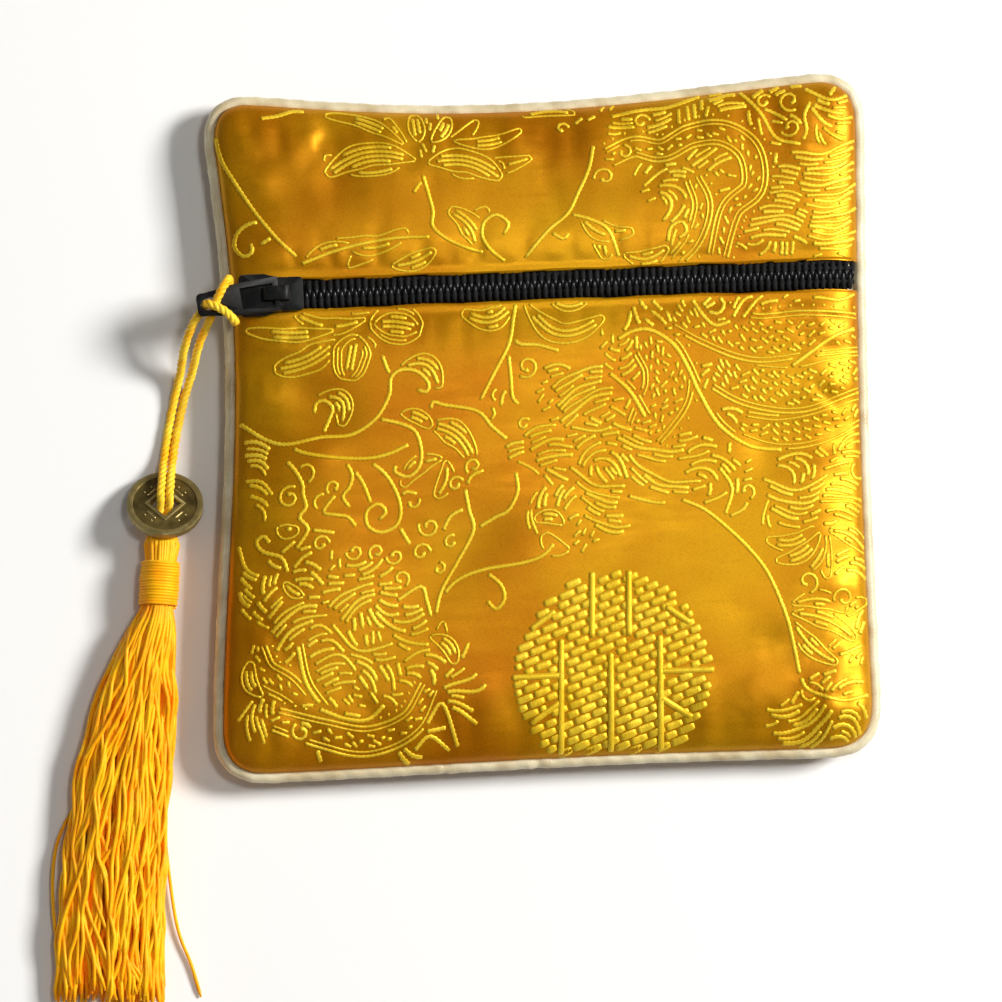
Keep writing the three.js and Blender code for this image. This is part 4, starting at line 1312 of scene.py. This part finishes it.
def scales(places, width):
    """A scaled body: double lines along both sides, rows of slanted dashes and a crest of fins."""
    spine = along_curve(from_photo(places), SCALE_PITCH)
    slope, normal = directions(spine)
    half = width / 2 * (0.7 + 0.3 * np.sin(np.pi * np.linspace(0.08, 0.92, len(spine))))
    for side in (1, -1):
        for inset, thread in ((0.0, FINE * 1.2), (0.75, FINE * 0.9)):
            edge = spine + normal * (side * (half - inset))[:, None]
            yield evenly(edge, STITCH), thread, RELIEF * 1.1
    rows = max(2, int((width - 1.6) / SCALE_ROW))
    for k in range(len(spine) - 1):
        for row in range(rows):
            share = (row + 0.5 + 0.5 * (k % 2)) / rows
            if share >= 1:
                continue
            middle = spine[k] + normal[k] * (2 * share - 1) * (half[k] - 1.2)
            lean = 0.4 + 0.25 * math.sin(k * 1.7 + row * 2.3)
            dash = slope[k] * 0.7 + normal[k] * (lean if row % 2 else -lean)
            yield evenly(np.array([middle - dash, middle + dash]), STITCH), SCALE, RELIEF
        if k % 2 == 0:
            root = spine[k] + normal[k] * (half[k] + 0.25)
            fin = root + normal[k] * 1.0 + slope[k] * 0.7
            yield np.array([root, (root + fin) / 2 + slope[k] * 0.1, fin]), FINE * 1.3, RELIEF


def dashes(spot, half_x, half_y, heading):
    """A patch of short thick stitches in staggered rows, as fur, clouds and flower hearts have."""
    x, y = from_photo(spot)
    for row, across in enumerate(np.arange(-half_y, half_y + 0.01, DASH_ROW), 1):
        reach = half_x * math.sqrt(max(0, 1 - (across / half_y) ** 2))
        for along in np.arange(-reach + DASH_PITCH / 2 * (row % 2), reach + 0.01, DASH_PITCH):
            ripple = 0.3 * math.sin(along * 1.7 + row)
            rise = 0.5 * math.sin(row * 2.1 + along)
            line = [(along + step, across + ripple + rise * step) for step in np.arange(0, 2.0, STITCH)]
            yield turned(line, x, y, heading), SCALE, RELIEF


def thicket(spot, half_x, half_y, heading, swirl):
    """Close strokes that follow a swirling flow, as manes, flames and clouds have."""
    x, y = from_photo(spot)
    for row, across in enumerate(np.arange(-half_y, half_y, THICKET_ROW)):
        reach = half_x * math.sqrt(1 - (across / half_y) ** 2)
        for column, along in enumerate(np.arange(-reach, reach, 3 * THICKET_ROW)):
            uneven = math.sin(row * 2.7 + column * 1.9 + swirl)
            here = np.array([along + uneven, across + 0.4 * uneven])
            line = [here]
            for _ in range(14 + int(4 * uneven)):
                turn = math.sin(0.26 * here[0] + swirl) + 0.8 * math.cos(0.34 * here[1] - 0.2 * here[0])
                here = here + STITCH * np.array([math.cos(turn), math.sin(turn)])
                line.append(here)
            width = FILL * (0.85 + 0.15 * uneven)
            yield turned(line, x, y, heading), width, RELIEF * (0.95 + 0.2 * uneven)


def medallion(spot, radius):
    """A round ground of slanted bricks, parted by plain upright and level bars."""
    x, y = from_photo(spot)
    cosine, sine = math.cos(BRICK_SLANT), math.sin(BRICK_SLANT)
    for row in np.arange(-radius, radius, BRICK_ROW):
        shift = BRICK_SHIFT if int(round(row / BRICK_ROW)) % 2 else 0
        for along in np.arange(-radius * 1.4, radius * 1.4, BRICK_PITCH):
            left = along + shift
            ends = []
            for reached in np.linspace(left, left + BRICK_LENGTH, 8):
                px = reached * cosine - row * sine
                py = reached * sine + row * cosine
                if math.hypot(px, py) < radius - MEDALLION_MARGIN and not in_bar(px, py, radius):
                    ends.append((x + px, y + py))
            if len(ends) > 3:
                yield evenly(np.array(ends), STITCH * 1.4), BRICK_ROW * 0.96, RELIEF * 0.55
    for bar in MEDALLION_BARS:
        line = np.array([bar["from"], bar["to"]]) * radius + np.array([x, y])
        yield evenly(line, STITCH), BRICK_ROW * 0.8, RELIEF * 1.3


def in_bar(px, py, radius):
    """Whether a place lies in the bare channel round one of the medallion's bars."""
    bars = [(np.array(bar["from"]) * radius, np.array(bar["to"]) * radius) for bar in MEDALLION_BARS]
    return any(away_from(px, py, start, end) < BAR_CLEARANCE for start, end in bars)


def on_cloth(points, low, high):
    """Which points lie on a panel, clear of its seams and folds."""
    x, y = points[:, 0], points[:, 1]
    inside = np.abs(x) < WIDTH / 2 - RIM_INSET - SEAM_CLEARANCE
    inside &= np.abs(y) < CLOTH_EDGE - SEAM_CLEARANCE
    inside &= near_edge(x, y, RIM_INSET + SEAM_CLEARANCE) < 1
    return inside & (y > low + FOLD_CLEARANCE) & (y < high - FOLD_CLEARANCE)


def kept_apart(strokes, low, high):
    """Strokes cut where they leave the panel or would cross one that is laid before them."""
    rows, columns = int(LENGTH / CELL), int(WIDTH / CELL)
    taken = np.zeros((rows + 2 * SPREAD + 1, columns + 2 * SPREAD + 1), bool)
    spread = np.arange(-SPREAD, SPREAD + 1)
    away = np.hypot(spread[:, None], spread[None, :]) * CELL
    for points, wide, tall in strokes:
        wide = np.broadcast_to(wide, len(points))
        column = np.rint((points[:, 0] + WIDTH / 2) / CELL).astype(int).clip(0, columns) + SPREAD
        row = np.rint((points[:, 1] + LENGTH / 2) / CELL).astype(int).clip(0, rows) + SPREAD
        kept = on_cloth(points, low, high) & (~taken[row, column] | (wide > SATIN_BAND))
        edges = np.flatnonzero(np.diff(np.concatenate([[0], kept.astype(int), [0]])))
        for start, end in zip(edges[::2], edges[1::2]):
            if end - start < min(SHORTEST_RUN, len(points) - 1):
                continue
            yield points[start:end], wide[start:end], tall
            down, along = np.nonzero(away <= wide[start] / 2 + APART)
            taken[row[start:end, None] + spread[down], column[start:end, None] + spread[along]] = True


def add_weave(name, strokes, low, high, surface, side, material):
    """One mesh of a panel's raised threads: flattened ribbons, beaded by the weave."""
    centre, across, width, height, flat, lengths = [], [], [], [], [], []
    for run, wide, tall in kept_apart(strokes, low, high):
        bead = np.where(np.arange(len(run)) % 2, 1.0, np.where(wide > SATIN_BAND, 0.9, 0.45))
        bead[0] = bead[-1] = 0.45
        centre.append(run)
        across.append(directions(run)[1])
        width.append(wide * (0.4 + 0.6 * bead))
        height.append(tall * bead)
        flat.append(wide > SATIN_BAND)
        lengths.append(len(run))
    centre, across = np.concatenate(centre), np.concatenate(across)
    width, height = np.concatenate(width), np.concatenate(height)
    flat = np.concatenate(flat)[:, None]
    profile = np.where(flat, [-0.5, -0.42, 0.42, 0.5], [-0.5, -0.33, 0.33, 0.5])
    proud = np.array([-0.25, 1.0, 1.0, -0.25])
    x = centre[:, :1] + across[:, :1] * profile * width[:, None]
    y = centre[:, 1:] + across[:, 1:] * profile * width[:, None]
    points = sewn(x, y, surface(x, y) + side * height[:, None] * proud)
    last = np.cumsum(lengths) - 1
    first = last - np.array(lengths) + 1
    joined = np.ones(len(centre), bool)
    joined[last] = False
    here = np.flatnonzero(joined)[:, None] * 4
    k = np.arange(4)[None, :]
    beside = (k + 1) % 4
    quads = np.stack([here + k, here + 4 + k, here + 4 + beside, here + beside], -1).reshape(-1, 4)
    fan = np.array([(0, 1, 2), (0, 2, 3)])
    caps = np.concatenate([
        (first[:, None, None] * 4 + fan[None]).reshape(-1, 3),
        (last[:, None, None] * 4 + fan[None, :, ::-1]).reshape(-1, 3),
    ])
    return add_piece(name, points, quads[:, ::side], material, caps[:, ::side])


def pattern(vines, ridges, tables):
    """All strokes of a panel: its vines and ridges, then each other motif's rows."""
    for places in vines:
        yield from vine(places)
    for places in ridges:
        yield from ridge(places)
    for motif, rows in tables:
        for row in rows:
            yield from motif(**row)


# Joints in the piping, as places on the flat pattern
PIPING_JOINTS = ((-18.0, -58.6), (-2.0, -58.6), (-56.7, 12.0))

# Loose threads of the tassel, as places on the table
STRAYS = (
    {"lift": 0.4, "points": [(-68.0, -62.0), (-67.0, -76.0), (-66.0, -84.0), (-64.0, -90.0),
                             (-62.6, -95.5)]},
    {"lift": 1.0, "points": [(-81.5, -60.0), (-86.0, -68.0), (-87.2, -78.0), (-86.0, -88.0),
                             (-81.0, -93.0)]},
    {"lift": 2.2, "points": [(-68.0, -30.0), (-71.6, -31.5), (-74.0, -36.0), (-73.6, -42.0)]},
)

# Marks in one quarter of the coin: distance out from its middle, place across and length
COIN_MARKS = table("out across length", [
    (3.3, 0.0, 1.9),
    (4.1, -0.8, 0.3),
    (4.1, 0.8, 0.3),
])

# Bars of the medallion, in shares of its radius
MEDALLION_BARS = table("from to", [
    ((-0.2, 0.98), (-0.2, 0.35)),
    ((0.16, 0.98), (0.16, 0.35)),
    ((-0.02, 0.2), (-0.02, -0.75)),
    ((-0.5, 0.35), (-0.5, -0.8)),
    ((0.46, 0.35), (0.46, -0.8)),
    ((-0.98, 0.0), (-0.5, 0.0)),
    ((0.46, 0.0), (0.98, 0.0)),
    ((-0.8, -0.45), (-0.5, -0.25)),
    ((0.46, -0.25), (0.76, -0.45)),
    ((-0.8, 0.45), (-0.56, 0.62)),
    ((0.52, 0.62), (0.76, 0.45)),
])


# Layout of the woven pattern. Each place was chosen over the photograph and is in its
# pixels, across and down from its top left corner. A row of vines or ridges is one line's
# places. The other tables name their columns: widths, radii and halves are millimetres, starts
# and headings are degrees.
UPPER_VINES = [
    [(212, 130), (218, 158), (228, 178), (250, 212), (272, 240), (294, 261)],
    [(262, 226), (248, 227), (236, 236), (233, 250), (241, 260), (250, 256), (249, 247)],
    [(262, 226), (251, 216), (248, 206)],
    [(272, 240), (258, 248)],
    [(258, 121), (275, 118), (290, 113), (302, 113)],
    [(275, 118), (262, 131)],
    [(420, 178), (425, 196), (430, 215), (429, 229), (442, 241), (462, 250), (480, 255)],
    [(410, 196), (420, 184), (430, 195)],
    [(299, 268), (338, 253), (387, 242), (426, 240)],
    [(502, 264), (487, 252), (479, 238), (482, 224), (494, 217), (505, 226), (500, 237)],
    [(591, 146), (586, 170), (575, 195), (565, 215), (545, 233), (522, 260)],
    [(565, 215), (551, 222), (549, 233), (560, 241), (566, 235)],
    [(565, 215), (588, 221), (606, 232), (616, 258)],
    [(665, 243), (668, 228), (679, 222), (684, 232), (676, 239)],
    [(684, 232), (694, 220)],
    [(740, 88), (752, 100), (762, 112), (776, 135), (800, 142)],
    [(800, 142), (806, 128), (804, 112), (811, 98)],
    [(610, 115), (640, 108), (668, 104), (700, 92)],
]
UPPER_CURLS = table("spot radius start turns hand", [
    ((602, 178), 1.6, 190, 1.3, -1),
    ((790, 124), 1.5, 200, 1.4, 1),
    ((764, 98), 1.2, 30, 1.3, 1),
    ((790, 96), 1.7, 300, 1.4, -1),
    ((640, 120), 1.3, 0, 1.3, 1),
    ((622, 152), 1.2, 90, 1.2, -1),
    ((560, 128), 1.0, 0, 1.1, 1),
])
UPPER_BLADES = table("base tip width bend", [
    ((414, 163), (323, 179), 4.6, -0.16),
    ((410, 154), (320, 160), 4.2, 0.14),
    ((402, 147), (322, 116), 2.4, -0.1),
    ((424, 166), (499, 181), 4.8, 0.16),
    ((432, 160), (502, 166), 4.0, -0.12),
    ((436, 150), (530, 158), 3.6, -0.16),
    ((450, 142), (520, 129), 2.4, -0.12),
    ((404, 146), (384, 118), 2.4, 0.1),
    ((416, 144), (412, 114), 3.0, 0.0),
    ((428, 144), (446, 116), 2.6, -0.1),
    ((440, 146), (476, 119), 2.2, -0.1),
    ((331, 243), (405, 233), 3.6, -0.16),
    ((300, 268), (352, 250), 2.4, 0.1),
    ((345, 272), (385, 250), 3.2, 0.1),
    ((388, 270), (432, 252), 3.2, -0.1),
    ((476, 254), (445, 212), 4.2, -0.16),
    ((470, 236), (486, 211), 2.6, 0.16),
    ((576, 213), (632, 232), 3.6, -0.2),
    ((586, 236), (603, 262), 3.2, 0.2),
    ((620, 255), (666, 247), 3.2, -0.2),
    ((520, 116), (575, 112), 2.0, 0.1),
])
UPPER_HAIR = table("start_a start_b end_a end_b bend", [
    ((738, 182), (742, 240), (800, 170), (812, 250), 0.16),
    ((790, 150), (806, 245), (858, 130), (858, 235), -0.14),
    ((806, 84), (812, 112), (852, 86), (860, 138), -0.2),
    ((752, 104), (770, 150), (800, 150), (830, 192), 0.2),
    ((668, 150), (700, 176), (716, 118), (752, 150), 0.1),
    ((600, 110), (612, 140), (672, 96), (690, 122), -0.12),
    ((712, 196), (722, 252), (740, 200), (748, 258), 0.24),
    ((700, 84), (716, 110), (742, 84), (750, 104), 0.1),
])
UPPER_SCALES = table("places width", [
    ([(606, 158), (632, 146), (660, 150), (690, 134), (722, 132), (748, 150), (752, 186), (728, 210),
        (716, 256)], 4.6),
    ([(690, 178), (700, 206), (690, 240), (672, 262)], 3.6),
])
UPPER_DASHES = table("spot half_x half_y heading", [
    ((648, 186), 2.1, 3.6, 12),
    ((765, 235), 5.2, 4.4, -30),
    ((838, 205), 4.0, 8.6, 62),
    ((846, 116), 3.0, 3.4, 40),
    ((640, 128), 5.6, 2.6, 30),
    ((718, 164), 3.6, 2.6, -40),
    ((812, 256), 7.6, 1.6, 10),
    ((424, 131), 5.8, 2.4, 80),
    ((590, 112), 4.0, 1.8, 20),
])
LOWER_VINES = [
    [(239, 428), (262, 443), (284, 449), (319, 442), (349, 439), (373, 423), (386, 400), (388, 382),
        (399, 374), (414, 376), (425, 387), (423, 396), (414, 394)],
    [(388, 382), (383, 370), (379, 360)],
    [(319, 441), (327, 423), (330, 412), (322, 405), (314, 408), (312, 418)],
    [(284, 449), (301, 457), (332, 462), (364, 463), (386, 458), (405, 449)],
    [(375, 423), (397, 428), (412, 436), (418, 454), (416, 471), (405, 481), (392, 476), (393, 470)],
    [(285, 466), (292, 474), (300, 488), (301, 499), (304, 512), (297, 522), (306, 534), (294, 553)],
    [(306, 534), (332, 537)],
    [(340, 463), (349, 478), (347, 491), (340, 501), (347, 512)],
    [(340, 463), (358, 484), (368, 507)],
    [(364, 464), (384, 480), (397, 506), (395, 527), (379, 536), (365, 530), (364, 516), (375, 508),
        (383, 516), (376, 524)],
    [(332, 500), (321, 516), (332, 519), (345, 521), (353, 531)],
    [(397, 532), (407, 548)],
    [(397, 506), (402, 496), (414, 498)],
    [(514, 300), (510, 321), (505, 348), (490, 378), (477, 404)],
    [(507, 338), (516, 347), (534, 348), (555, 354)],
    [(504, 352), (507, 378), (509, 400), (515, 408)],
    [(509, 388), (500, 398), (497, 410)],
    [(427, 413), (430, 406), (440, 409), (473, 415), (488, 430), (503, 443)],
    [(462, 493), (466, 514), (470, 534), (454, 566), (439, 593), (433, 617)],
    [(470, 534), (492, 521), (505, 514), (514, 495), (512, 476)],
    [(462, 493), (468, 480), (480, 474)],
    [(462, 512), (448, 520), (440, 534)],
    [(437, 602), (454, 584), (480, 573), (519, 566), (539, 559), (550, 547)],
    [(483, 576), (497, 588), (501, 602), (493, 612), (484, 604)],
    [(678, 502), (700, 511), (722, 528), (747, 551), (766, 576), (783, 615), (791, 646), (797, 674)],
    [(716, 469), (729, 490), (722, 516)],
    [(700, 505), (714, 500), (726, 492)],
    [(716, 522), (738, 512), (744, 504)],
    [(797, 674), (806, 690), (839, 700), (868, 694)],
    [(425, 726), (440, 706), (456, 748)],
    [(413, 752), (428, 738), (448, 752)],
    [(286, 576), (280, 562), (262, 556), (255, 546), (262, 540), (268, 547)],
    [(262, 556), (272, 570), (290, 572), (300, 562), (310, 556)],
    [(700, 306), (712, 296), (722, 304), (716, 314), (705, 312)],
    [(690, 300), (700, 316), (712, 326), (728, 322)],
    [(740, 318), (760, 296), (790, 288), (812, 292)],
    [(728, 322), (742, 300), (756, 296)],
    [(395, 604), (418, 590), (424, 604), (428, 620)],
]
LOWER_CURLS = table("spot radius start turns hand", [
    ((302, 477), 1.7, 240, 1.5, 1),
    ((287, 502), 1.7, 60, 1.6, 1),
    ((331, 492), 1.3, 300, 1.4, -1),
    ((319, 508), 1.7, 330, 1.5, 1),
    ((410, 506), 1.5, 200, 1.5, -1),
    ((426, 530), 1.6, 160, 1.5, 1),
    ((452, 488), 1.2, 20, 1.4, 1),
    ((470, 470), 1.3, 250, 1.4, -1),
    ((448, 546), 1.1, 60, 1.2, 1),
    ((523, 370), 1.7, 230, 1.6, 1),
    ((534, 356), 1.0, 200, 1.2, -1),
    ((494, 400), 1.0, 100, 1.3, 1),
    ((484, 418), 1.1, 60, 1.3, -1),
    ((520, 428), 1.0, 30, 1.3, 1),
    ((744, 492), 1.5, 200, 1.4, 1),
    ((805, 582), 1.7, 280, 1.3, 1),
    ((843, 598), 1.6, 200, 1.4, -1),
    ((398, 582), 1.3, 300, 1.3, 1),
    ((352, 556), 1.3, 180, 1.4, 1),
    ((374, 556), 1.2, 240, 1.4, -1),
    ((392, 560), 1.3, 180, 1.4, 1),
    ((418, 556), 1.4, 0, 1.4, 1),
    ((436, 572), 1.0, 90, 1.2, -1),
    ((258, 545), 1.4, 90, 1.3, -1),
    ((318, 548), 1.3, 0, 1.4, 1),
    ((300, 735), 1.4, 120, 1.3, 1),
    ((688, 298), 1.3, 300, 1.3, 1),
    ((720, 300), 1.3, 240, 1.3, -1),
    ((860, 470), 1.4, 120, 1.3, 1),
    ((808, 694), 1.8, 0, 1.6, 1),
])
LOWER_BLADES = table("base tip width bend", [
    ((366, 329), (419, 334), 7.4, 0.06),
    ((352, 338), (344, 386), 7.0, 0.0),
    ((334, 344), (271, 374), 4.6, 0.1),
    ((332, 334), (243, 334), 2.4, 0.06),
    ((364, 322), (292, 318), 2.8, 0.14),
    ((348, 318), (400, 312), 2.2, 0.1),
    ((396, 372), (436, 394), 3.6, 0.32),
    ((313, 402), (338, 432), 3.4, 0.42),
    ((397, 418), (428, 432), 2.6, 0.12),
    ((424, 428), (470, 466), 4.2, 0.16),
    ((440, 462), (399, 492), 3.2, -0.18),
    ((442, 464), (432, 502), 3.0, 0.16),
    ((275, 532), (297, 533), 2.6, -0.16),
    ((511, 303), (458, 314), 3.8, 0.26),
    ((520, 303), (602, 318), 3.8, -0.3),
    ((546, 302), (584, 303), 1.9, -0.16),
    ((818, 532), (772, 562), 2.6, 0.16),
    ((822, 534), (798, 574), 2.6, 0.1),
    ((826, 534), (826, 580), 2.4, -0.06),
    ((826, 530), (868, 552), 3.0, 0.14),
    ((812, 526), (762, 540), 2.8, 0.2),
    ((788, 606), (846, 612), 3.0, 0.16),
    ((788, 614), (856, 640), 3.2, 0.1),
    ((790, 622), (836, 664), 3.0, -0.1),
    ((846, 616), (868, 600), 2.4, 0.16),
    ((302, 600), (282, 586), 2.0, 0.1),
    ((262, 700), (250, 664), 2.6, 0.2),
    ((426, 640), (452, 668), 2.6, 0.2),
    ((440, 624), (444, 656), 2.2, -0.1),
    ((352, 346), (372, 352), 2.0, 0.1),
    ((566, 552), (540, 536), 3.2, 0.2),
    ((560, 528), (530, 524), 2.6, -0.2),
])
LOWER_HAIR = table("start_a start_b end_a end_b bend", [
    ((548, 392), (560, 438), (600, 372), (622, 404), 0.12),
    ((540, 372), (552, 402), (572, 378), (586, 392), 0.2),
    ((604, 408), (616, 452), (684, 420), (706, 448), -0.14),
    ((612, 440), (624, 476), (700, 478), (706, 486), -0.2),
    ((560, 430), (590, 420), (640, 404), (676, 420), -0.18),
    ((566, 470), (578, 520), (622, 486), (628, 530), -0.16),
    ((520, 440), (534, 470), (560, 430), (576, 468), 0.14),
    ((600, 470), (612, 478), (664, 500), (640, 500), -0.2),
    ((760, 480), (770, 520), (826, 468), (822, 512), -0.24),
    ((800, 486), (806, 520), (862, 480), (866, 528), 0.14),
    ((816, 690), (834, 716), (762, 706), (776, 752), 0.2),
    ((262, 606), (276, 660), (312, 588), (330, 632), 0.22),
    ((300, 640), (318, 700), (330, 640), (376, 716), 0.34),
    ((330, 628), (368, 640), (392, 640), (398, 668), -0.3),
    ((326, 612), (342, 628), (372, 590), (384, 600), 0.14),
    ((322, 660), (352, 640), (372, 712), (396, 690), 0.24),
    ((238, 550), (240, 600), (260, 578), (250, 628), -0.2),
    ((240, 442), (246, 470), (270, 450), (264, 482), 0.2),
    ((244, 486), (252, 508), (270, 500), (262, 528), 0.2),
    ((812, 296), (800, 312), (862, 286), (866, 318), -0.12),
    ((838, 450), (820, 470), (868, 430), (870, 470), 0.16),
    ((500, 448), (504, 462), (520, 440), (524, 456), 0.1),
])
LOWER_SCALES = table("places width", [
    ([(646, 344), (662, 366), (664, 392), (652, 416), (640, 436)], 9.0),
    ([(676, 312), (708, 326), (752, 338), (800, 334), (858, 330)], 8.4),
    ([(716, 372), (748, 384), (794, 388), (830, 378), (866, 366)], 8.6),
    ([(742, 426), (776, 432), (816, 426), (866, 404)], 6.0),
    ([(274, 722), (320, 736), (366, 744), (408, 726), (428, 690)], 5.0),
    ([(254, 652), (262, 676), (284, 690), (300, 704)], 4.8),
])
LOWER_RIDGES = [
    [(614, 342), (630, 333), (648, 332), (670, 346), (684, 368), (696, 394), (716, 426), (746, 446),
        (780, 450)],
    [(790, 366), (812, 350), (836, 334), (856, 326)],
    [(318, 712), (344, 722), (366, 722), (382, 708)],
    [(296, 650), (304, 686), (322, 712)],
    [(606, 376), (626, 394), (642, 420)],
]
LOWER_DASHES = table("spot half_x half_y heading", [
    ((640, 306), 3.6, 3.4, 80),
    ((668, 318), 5.0, 2.6, 20),
    ((622, 352), 2.4, 5.4, 70),
    ((552, 404), 3.0, 5.0, 30),
    ((540, 448), 4.8, 3.6, 10),
    ((352, 576), 2.8, 5.4, 70),
    ((330, 606), 4.4, 3.4, 40),
    ((354, 694), 4.6, 3.4, -40),
    ((266, 722), 3.4, 3.0, 15),
    ((350, 742), 8.6, 1.6, 5),
    ((410, 626), 2.2, 4.6, 60),
    ((430, 674), 3.4, 4.4, 50),
    ((790, 500), 4.4, 2.4, 20),
    ((852, 490), 2.4, 3.8, 70),
    ((858, 560), 1.6, 4.6, 80),
    ((850, 650), 2.2, 3.4, 60),
    ((700, 462), 3.4, 2.2, -30),
    ((726, 474), 3.0, 2.6, 10),
    ((856, 300), 2.4, 2.6, 30),
    ((780, 300), 5.4, 1.4, 20),
    ((578, 540), 2.4, 2.6, 40),
])
MEDALLION = {"spot": (610, 675), "radius": 17.9}
UPPER_THICKETS = table("spot half_x half_y heading swirl", [
    ((636, 128), 5.6, 3.2, 20, 0.4),
    ((690, 112), 6.0, 3.0, -10, 1.7),
    ((760, 118), 6.6, 4.2, 30, 2.9),
    ((832, 108), 5.0, 4.4, 60, 4.1),
    ((842, 170), 3.6, 7.0, -10, 5.2),
    ((780, 220), 7.2, 5.6, 50, 0.9),
    ((700, 232), 6.0, 4.4, 15, 2.2),
    ((668, 178), 6.0, 4.2, -35, 3.3),
    ((838, 240), 4.6, 3.6, 20, 1.2),
])
LOWER_THICKETS = table("spot half_x half_y heading swirl", [
    ((640, 352), 6.8, 6.4, 40, 0.3),
    ((700, 392), 7.4, 4.6, -30, 1.4),
    ((742, 318), 10.0, 3.2, -8, 2.6),
    ((826, 322), 6.4, 4.6, 10, 3.7),
    ((800, 396), 8.4, 5.0, -24, 4.9),
    ((846, 452), 4.4, 4.6, 40, 0.8),
    ((770, 444), 7.0, 3.4, -30, 2.0),
    ((690, 462), 6.4, 3.6, -20, 3.1),
    ((590, 440), 6.0, 4.4, 30, 4.4),
    ((540, 452), 4.6, 3.6, -10, 5.5),
    ((600, 500), 5.4, 3.6, 35, 1.1),
    ((548, 518), 3.8, 3.0, 10, 2.4),
    ((800, 500), 7.6, 3.4, 24, 3.5),
    ((836, 548), 5.0, 4.8, 40, 4.7),
    ((826, 628), 6.2, 5.0, -30, 0.6),
    ((808, 720), 7.4, 4.4, 12, 1.9),
    ((272, 600), 4.8, 5.6, 50, 3.0),
    ((330, 596), 7.6, 4.6, 10, 4.2),
    ((384, 612), 4.6, 4.6, -40, 5.4),
    ((300, 660), 7.2, 5.6, 30, 0.2),
    ((372, 668), 7.2, 5.4, -20, 1.6),
    ((280, 716), 6.6, 4.8, 10, 2.8),
    ((350, 732), 8.4, 3.4, -6, 3.9),
    ((418, 694), 4.0, 5.6, 60, 5.0),
])


# Making

add_camera()
SILK = yellow_silk("yellow_cord", (1.0, 0.7, 0.05), (1.0, 0.5, 0.01))
cord, route = add_cord(SILK)
THREADS = yellow_silk("yellow_silk", (1.0, 0.51, 0.005), (1.0, 0.35, 0.001))
# A deeper orange copy of the tassel silk for the inner threads: painted shade.
SHADED_CORE_SILK = yellow_silk("shaded_core_silk", (1.0, 0.36, 0.001), (1.0, 0.25, 0.0))
BRASS = old_brass()
add_tassel(THREADS, SHADED_CORE_SILK)
binding = add_binding(THREADS)
coin, coin_marks = add_coin(BRASS)
[tuple(p * MM) for p in route]
add_floor()
add_studio()

simulate_slack()
SATIN = gold_satin()
RAISED = raised_silk()
lower = add_panel("lower_front", "front_lower_panel", -LENGTH, SLOT_LOW, front_surface, 1, SATIN,
                  CLOTH_SPACING)
upper = add_panel("upper_front", "front_upper_panel", SLOT_HIGH, LENGTH, front_surface, 1, SATIN,
                  CLOTH_SPACING)
back = add_panel("back", "back_panel", -LENGTH, LENGTH, back_surface, -1, SATIN, BACK_SPACING)
lower_strokes = list(pattern(LOWER_VINES, LOWER_RIDGES, (
    (curl, LOWER_CURLS), (blade, LOWER_BLADES), (scales, LOWER_SCALES), (hair, LOWER_HAIR),
    (thicket, LOWER_THICKETS), (dashes, LOWER_DASHES), (medallion, [MEDALLION]),
)))
upper_strokes = list(pattern(UPPER_VINES, (), (
    (curl, UPPER_CURLS), (blade, UPPER_BLADES), (scales, UPPER_SCALES), (hair, UPPER_HAIR),
    (thicket, UPPER_THICKETS), (dashes, UPPER_DASHES),
)))
weave_lower = add_weave("weave_lower", lower_strokes, -LENGTH, SLOT_LOW, front_surface, 1, RAISED)
weave_upper = add_weave("weave_upper", upper_strokes, SLOT_HIGH, LENGTH, front_surface, 1, RAISED)
mirrored = [(line * np.array([-1, 1]), wide, 0.5 * tall) for line, wide, tall in lower_strokes[::2]]
weave_back = add_weave("weave_back", mirrored, -LENGTH, LENGTH, back_surface, -1, RAISED)

add_piping(cream_satin())
TAPE = black_tape()
NYLON = black_nylon()
ENAMEL = black_enamel()
add_tape(-1, "lower_tape", "zip_tape_lower", TAPE)
add_tape(1, "upper_tape", "zip_tape_upper", TAPE)
add_coil(-1, "lower_coil", "zip_coil_lower", NYLON)
add_coil(1, "upper_coil", "zip_coil_upper", NYLON)
rounded_copy("zip_slider", "slider_body", ENAMEL, 0.16)
rounded_copy("zip_pull", "pull_tab", ENAMEL, 0.2)

corners = {"cad": CAD_BOUNDS, "visual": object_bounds()}
{key: [list(corner) for corner in box] for key, box in corners.items()}
